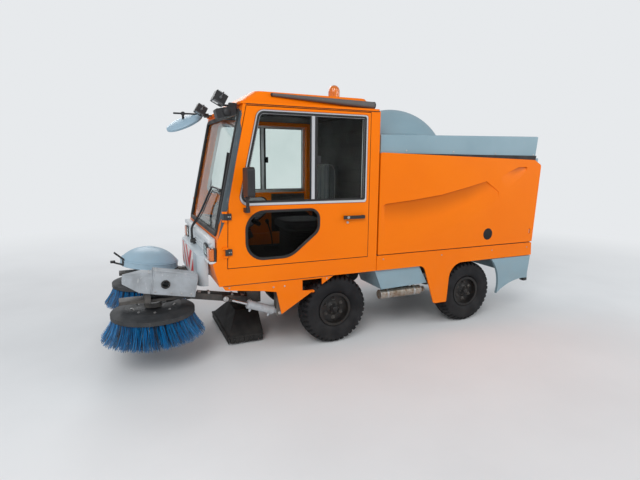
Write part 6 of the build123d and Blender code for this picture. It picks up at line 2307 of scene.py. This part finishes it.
@dataclass
class Chassis:
    """Springs, clamps, pipes and flaps on the frame and on the brush arms. Sizes in millimetres."""

    rear_axle: float = -1400.0
    spring_y: float = 260.0
    arm_low: tuple[float, float] = (700.0, 446.0)
    arm_high: tuple[float, float] = (1150.0, 529.0)
    arm_y: float = 450.0
    foot: tuple[float, float, float] = (484.0, 560.0, 319.0)
    eye: tuple[float, float, float] = (906.0, 560.0, 477.0)

    def build(self) -> None:
        """Builds the small parts below the body."""
        fixed(
            "chassis",
            ("spring_parts", self.springs().both(), CHASSIS, "black_steel"),
            ("silencer_bands", self.bands(), ZINC, "anodised_frame"),
            ("mouth_flaps", self.flaps(), MOUTH, "black_plastic", (), 50.0),
            ("step_grips", self.grips().both(), ORANGE, "orange_paint"),
        )
        band_seal = box_of((-2150, 657, 720), (-372, 667, 740.8), 2)
        fixed(
            "chassis",
            ("band_seals", band_seal.both(), SEAL, "black_plastic"),
            ("tail_blocks", box_of((-2149, 622, 338), (-2098, 677, 376), 9).both(), SEAL, "black_plastic"),
            ("frame_bolts", self.bolts().both(), ZINC, "black_steel", (), 25.0),
            ("engine_parts", self.engine(), ZINC, "black_steel"),
        )
        sided(
            ("arm_pipes", self.pipes(), "brush_arm", SEAL, "black_plastic"),
            ("arm_clips", self.clips(), "brush_arm", ZINC, "black_steel"),
            ("lift_gland", self.gland(), "lift_barrel", SILVER, "chromed_rod"),
            ("rod_end", self.rod_end(), "lift_rod", WORN_STEEL, "chromed_rod"),
            ("pin_heads", self.pin_heads(), "brush_arm", ZINC, "black_steel"),
        )

    def springs(self) -> Shape:
        """The springs' shorter leaves, their clamp plates and bolts on both axles."""
        shapes = []
        for axle, top in ((0.0, 337.5), (self.rear_axle, 344.5)):
            for step, half in enumerate((225, 160, 105)):
                low = top + 7.5 * step
                shapes.append(
                    box_of(
                        (axle - half, self.spring_y - 24, low), (axle + half, self.spring_y + 24, low + 7),
                        1.5,
                    )
                )
            shapes.append(
                box_of(
                    (axle - 52, self.spring_y - 36, top + 22), (axle + 52, self.spring_y + 36, top + 32), 3,
                )
            )
            shank = ((250, 0.1), (250, 6), (top + 46, 6), (top + 47, 0.1))
            nut = ((top + 31, 0.1), (top + 31, 11), (top + 41, 11), (top + 42, 8), (top + 42, 0.1))
            for x in (-38, 38):
                for y in (-31, 31):
                    place = at((axle + x, self.spring_y + y, 0))
                    shapes.append(turned(shank, place, (0, 0, 1), 10))
                    shapes.append(turned(nut, place, (0, 0, 1), 6))
            shapes.append(
                box_of((axle - 52, self.spring_y - 40, 250), (axle + 52, self.spring_y + 40, 258), 3)
            )
        return joined(shapes)

    def bands(self) -> Shape:
        """The silencer's straps, end seams and pipe lip."""
        profile = ((-9, 38), (-9, 42), (-7, 43.4), (7, 43.4), (9, 42), (9, 38))
        shapes = [turned(profile, at((x, 590, 362)), (1, 0, 0), 40) for x in (-520, -800)]
        seam = ((-3, 38), (-2, 41.5), (0, 42.6), (2, 41.5), (3, 38))
        shapes += [turned(seam, at((x, 590, 362)), (1, 0, 0), 40) for x in (-447, -868)]
        shapes.append(
            turned(((0, 21), (0, 25.4), (5, 26), (8, 25), (8, 21)), at((-917, 590, 362)), (1, 0, 0), 32)
        )
        return joined(shapes)

    def flaps(self) -> Shape:
        """Rubber strips that hang round the suction mouth: a row across its front and one along each side."""
        strip = box_of((846, -358, 14), (851, -320, 78), 2)
        front = strip.scattered([(0, 0.0398 * k, 0) for k in range(18)])
        one = box_of((556, 356, 18), (594, 361, 78), 2)
        side = one.scattered([(0.0402 * k, 0, 0) for k in range(7)]).both()
        rail = box_of((842, -360, 58), (856, 360, 74), 3)
        rails = box_of((552, 352, 60), (846, 365, 74), 3).both()
        return front.plus(side, rail, rails)

    def grips(self) -> Shape:
        """Raised bars on the step."""
        return box_of((224, 648, 495), (228, 673, 499), 1.4).scattered([(0.016 * k, 0, 0) for k in range(6)])

    def bolts(self) -> Shape:
        """Bolts along the rails and on the ears, and screws along the skirts."""
        stations = (640, 420, 60, -330, -620, -940, -1240, -1560, -1830, -2080)
        places = [(x, 290.2, z) for x in stations for z in (528, 572)]
        rail = screws(at(places), (0, 1, 0), 9, 8, 6)
        ears = screws(at([(700, 493, 420), (484, 595, 319)]), (0, 1, 0), 15, 8, 6)
        low = ((110, 586), (470, 560), (560, 560), (900, 590))
        high = ((-420, 700), (-1040, 690), (-1640, 690), (-2100, 690))
        skirt = screws(at([(x, 680, z) for x, z in low + high]), (0, 1, 0), 6, 3)
        return rail.plus(ears, skirt)

    def engine(self) -> Shape:
        """Ribs, a sump, a pulley and a filter on the engine's block, as far as they show from below."""
        sump = box_of((-1560, -150, 372), (-1180, 150, 402), 14)
        rib = box_of((-1600, 216, 430), (-1588, 226, 700), 3)
        ribs = rib.scattered([(0.055 * k, 0, 0) for k in range(11)]).both()
        grooved = (
            (0, 0.1), (0, 70), (8, 70), (12, 62), (22, 62), (26, 70), (34, 70), (34, 22), (44, 20),
            (44, 0.1),
        )
        pulley = turned(grooved, at((-1022, 0, 520)), (1, 0, 0), 48)
        filter_can = turned(
            ((0, 0.1), (0, 40), (90, 40), (98, 30), (98, 0.1)), at((-1300, 150, 402)), (0, 0, -1), 32,
        )
        return sump.plus(ribs, pulley, filter_can)

    def arm_line(self, lift: float, y: float) -> np.ndarray:
        """Five places along the arm's top edge.

        Args:
            lift: height over the edge.
            y: left of the machine's middle.

        Returns:
            Rows of millimetres.
        """
        share = np.array((0.12, 0.3, 0.5, 0.7, 0.86))[:, None]
        low = np.array((self.arm_low[0], y, self.arm_low[1] + lift))
        high = np.array((self.arm_high[0], y, self.arm_high[1] + lift))
        return low + share * (high - low)

    def pipes(self) -> Shape:
        """Two pipes that lie on the arm from end to end."""
        lines = [self.arm_line(8, self.arm_y + side) for side in (-12, 12)]
        for line in lines:
            line[0, 2] -= 3
            line[-1, 2] -= 3
        return rod(lines[0], 7).plus(rod(lines[1], 7))

    def clips(self) -> Shape:
        """The clips and end unions of those pipes."""
        shapes = []
        for x, y, z in self.arm_line(0, self.arm_y)[1:4:2]:
            shapes.append(box_of((x - 9, y - 27, z - 1), (x + 9, y + 27, z + 18), 3))
        for x, _, z in self.arm_line(5, self.arm_y)[[0, -1]]:
            for y in (self.arm_y - 12, self.arm_y + 12):
                shapes.append(
                    turned(((-12, 0.1), (-12, 10), (12, 10), (12, 0.1)), at((x, y, z)), (0.98, 0, 0.18), 6)
                )
        return joined(shapes)

    def rod_end(self) -> Shape:
        """The forged ring round the rod's eye and its neck."""
        foot, eye = at(self.foot), at(self.eye)
        collar = turned(
            ((-14.6, 15.2), (-14.6, 23), (-12, 24.5), (12, 24.5), (14.6, 23), (14.6, 15.2)), eye, (0, 1, 0),
            36,
        )
        neck = turned(((-52, 11.2), (-52, 15), (-48, 17), (-24, 17), (-20, 13)), eye, unit(eye - foot), 24)
        return collar.plus(neck)

    def pin_heads(self) -> Shape:
        """The washers and the split pin's head on the arm's pin, on both sides of the rod's eye."""
        washer = turned(
            ((16, 9.3), (16, 21), (18.5, 21), (19.5, 19), (19.5, 9.3)), at(self.eye), (0, 1, 0), 32,
        )
        inner = turned(((16, 9.3), (16, 21), (18.5, 21), (18.5, 9.3)), at(self.eye), (0, -1, 0), 32)
        head = turned(((18, 0.1), (18, 12), (22, 12), (24, 9), (24.5, 0.2)), at(self.eye), (0, 1, 0), 24)
        return washer.plus(inner, head)

    def gland(self) -> Shape:
        """The lift cylinder's end gland, ports and foot ring."""
        foot, eye = at(self.foot), at(self.eye)
        axis = unit(eye - foot)
        profile = ((246, 0.1), (246, 34), (249, 36), (268, 36), (271, 33), (271, 13), (246, 12.5))
        gland = turned(profile, foot, axis, 36)
        foot_ring = turned(((47, 20), (47, 34), (50, 35), (60, 35), (62, 33)), foot, axis, 36)
        upward = np.cross(axis, (0, -1, 0))
        port = turned(
            ((30, 0.1), (30, 11), (46, 11), (46, 7), (56, 7), (56, 0.1)), foot + 0.075 * axis, upward, 6,
        )
        return gland.plus(foot_ring, port, port.scattered([0.16 * axis]))


def main() -> None:
    """Builds every part of the scene in order."""
    logging.basicConfig(level=logging.INFO, format="%(message)s")
    for part in (
        Studio(), Paintwork(), Wheels(), SideBrush(), Cab(), Doors(), Seat(), Dash(), Lamps(), Roof(),
        Covers(), Hopper(), Chassis(),
    ):
        part.build()
        LOG.info("%s built", type(part).__name__)


if __name__ == "__main__":
    main()
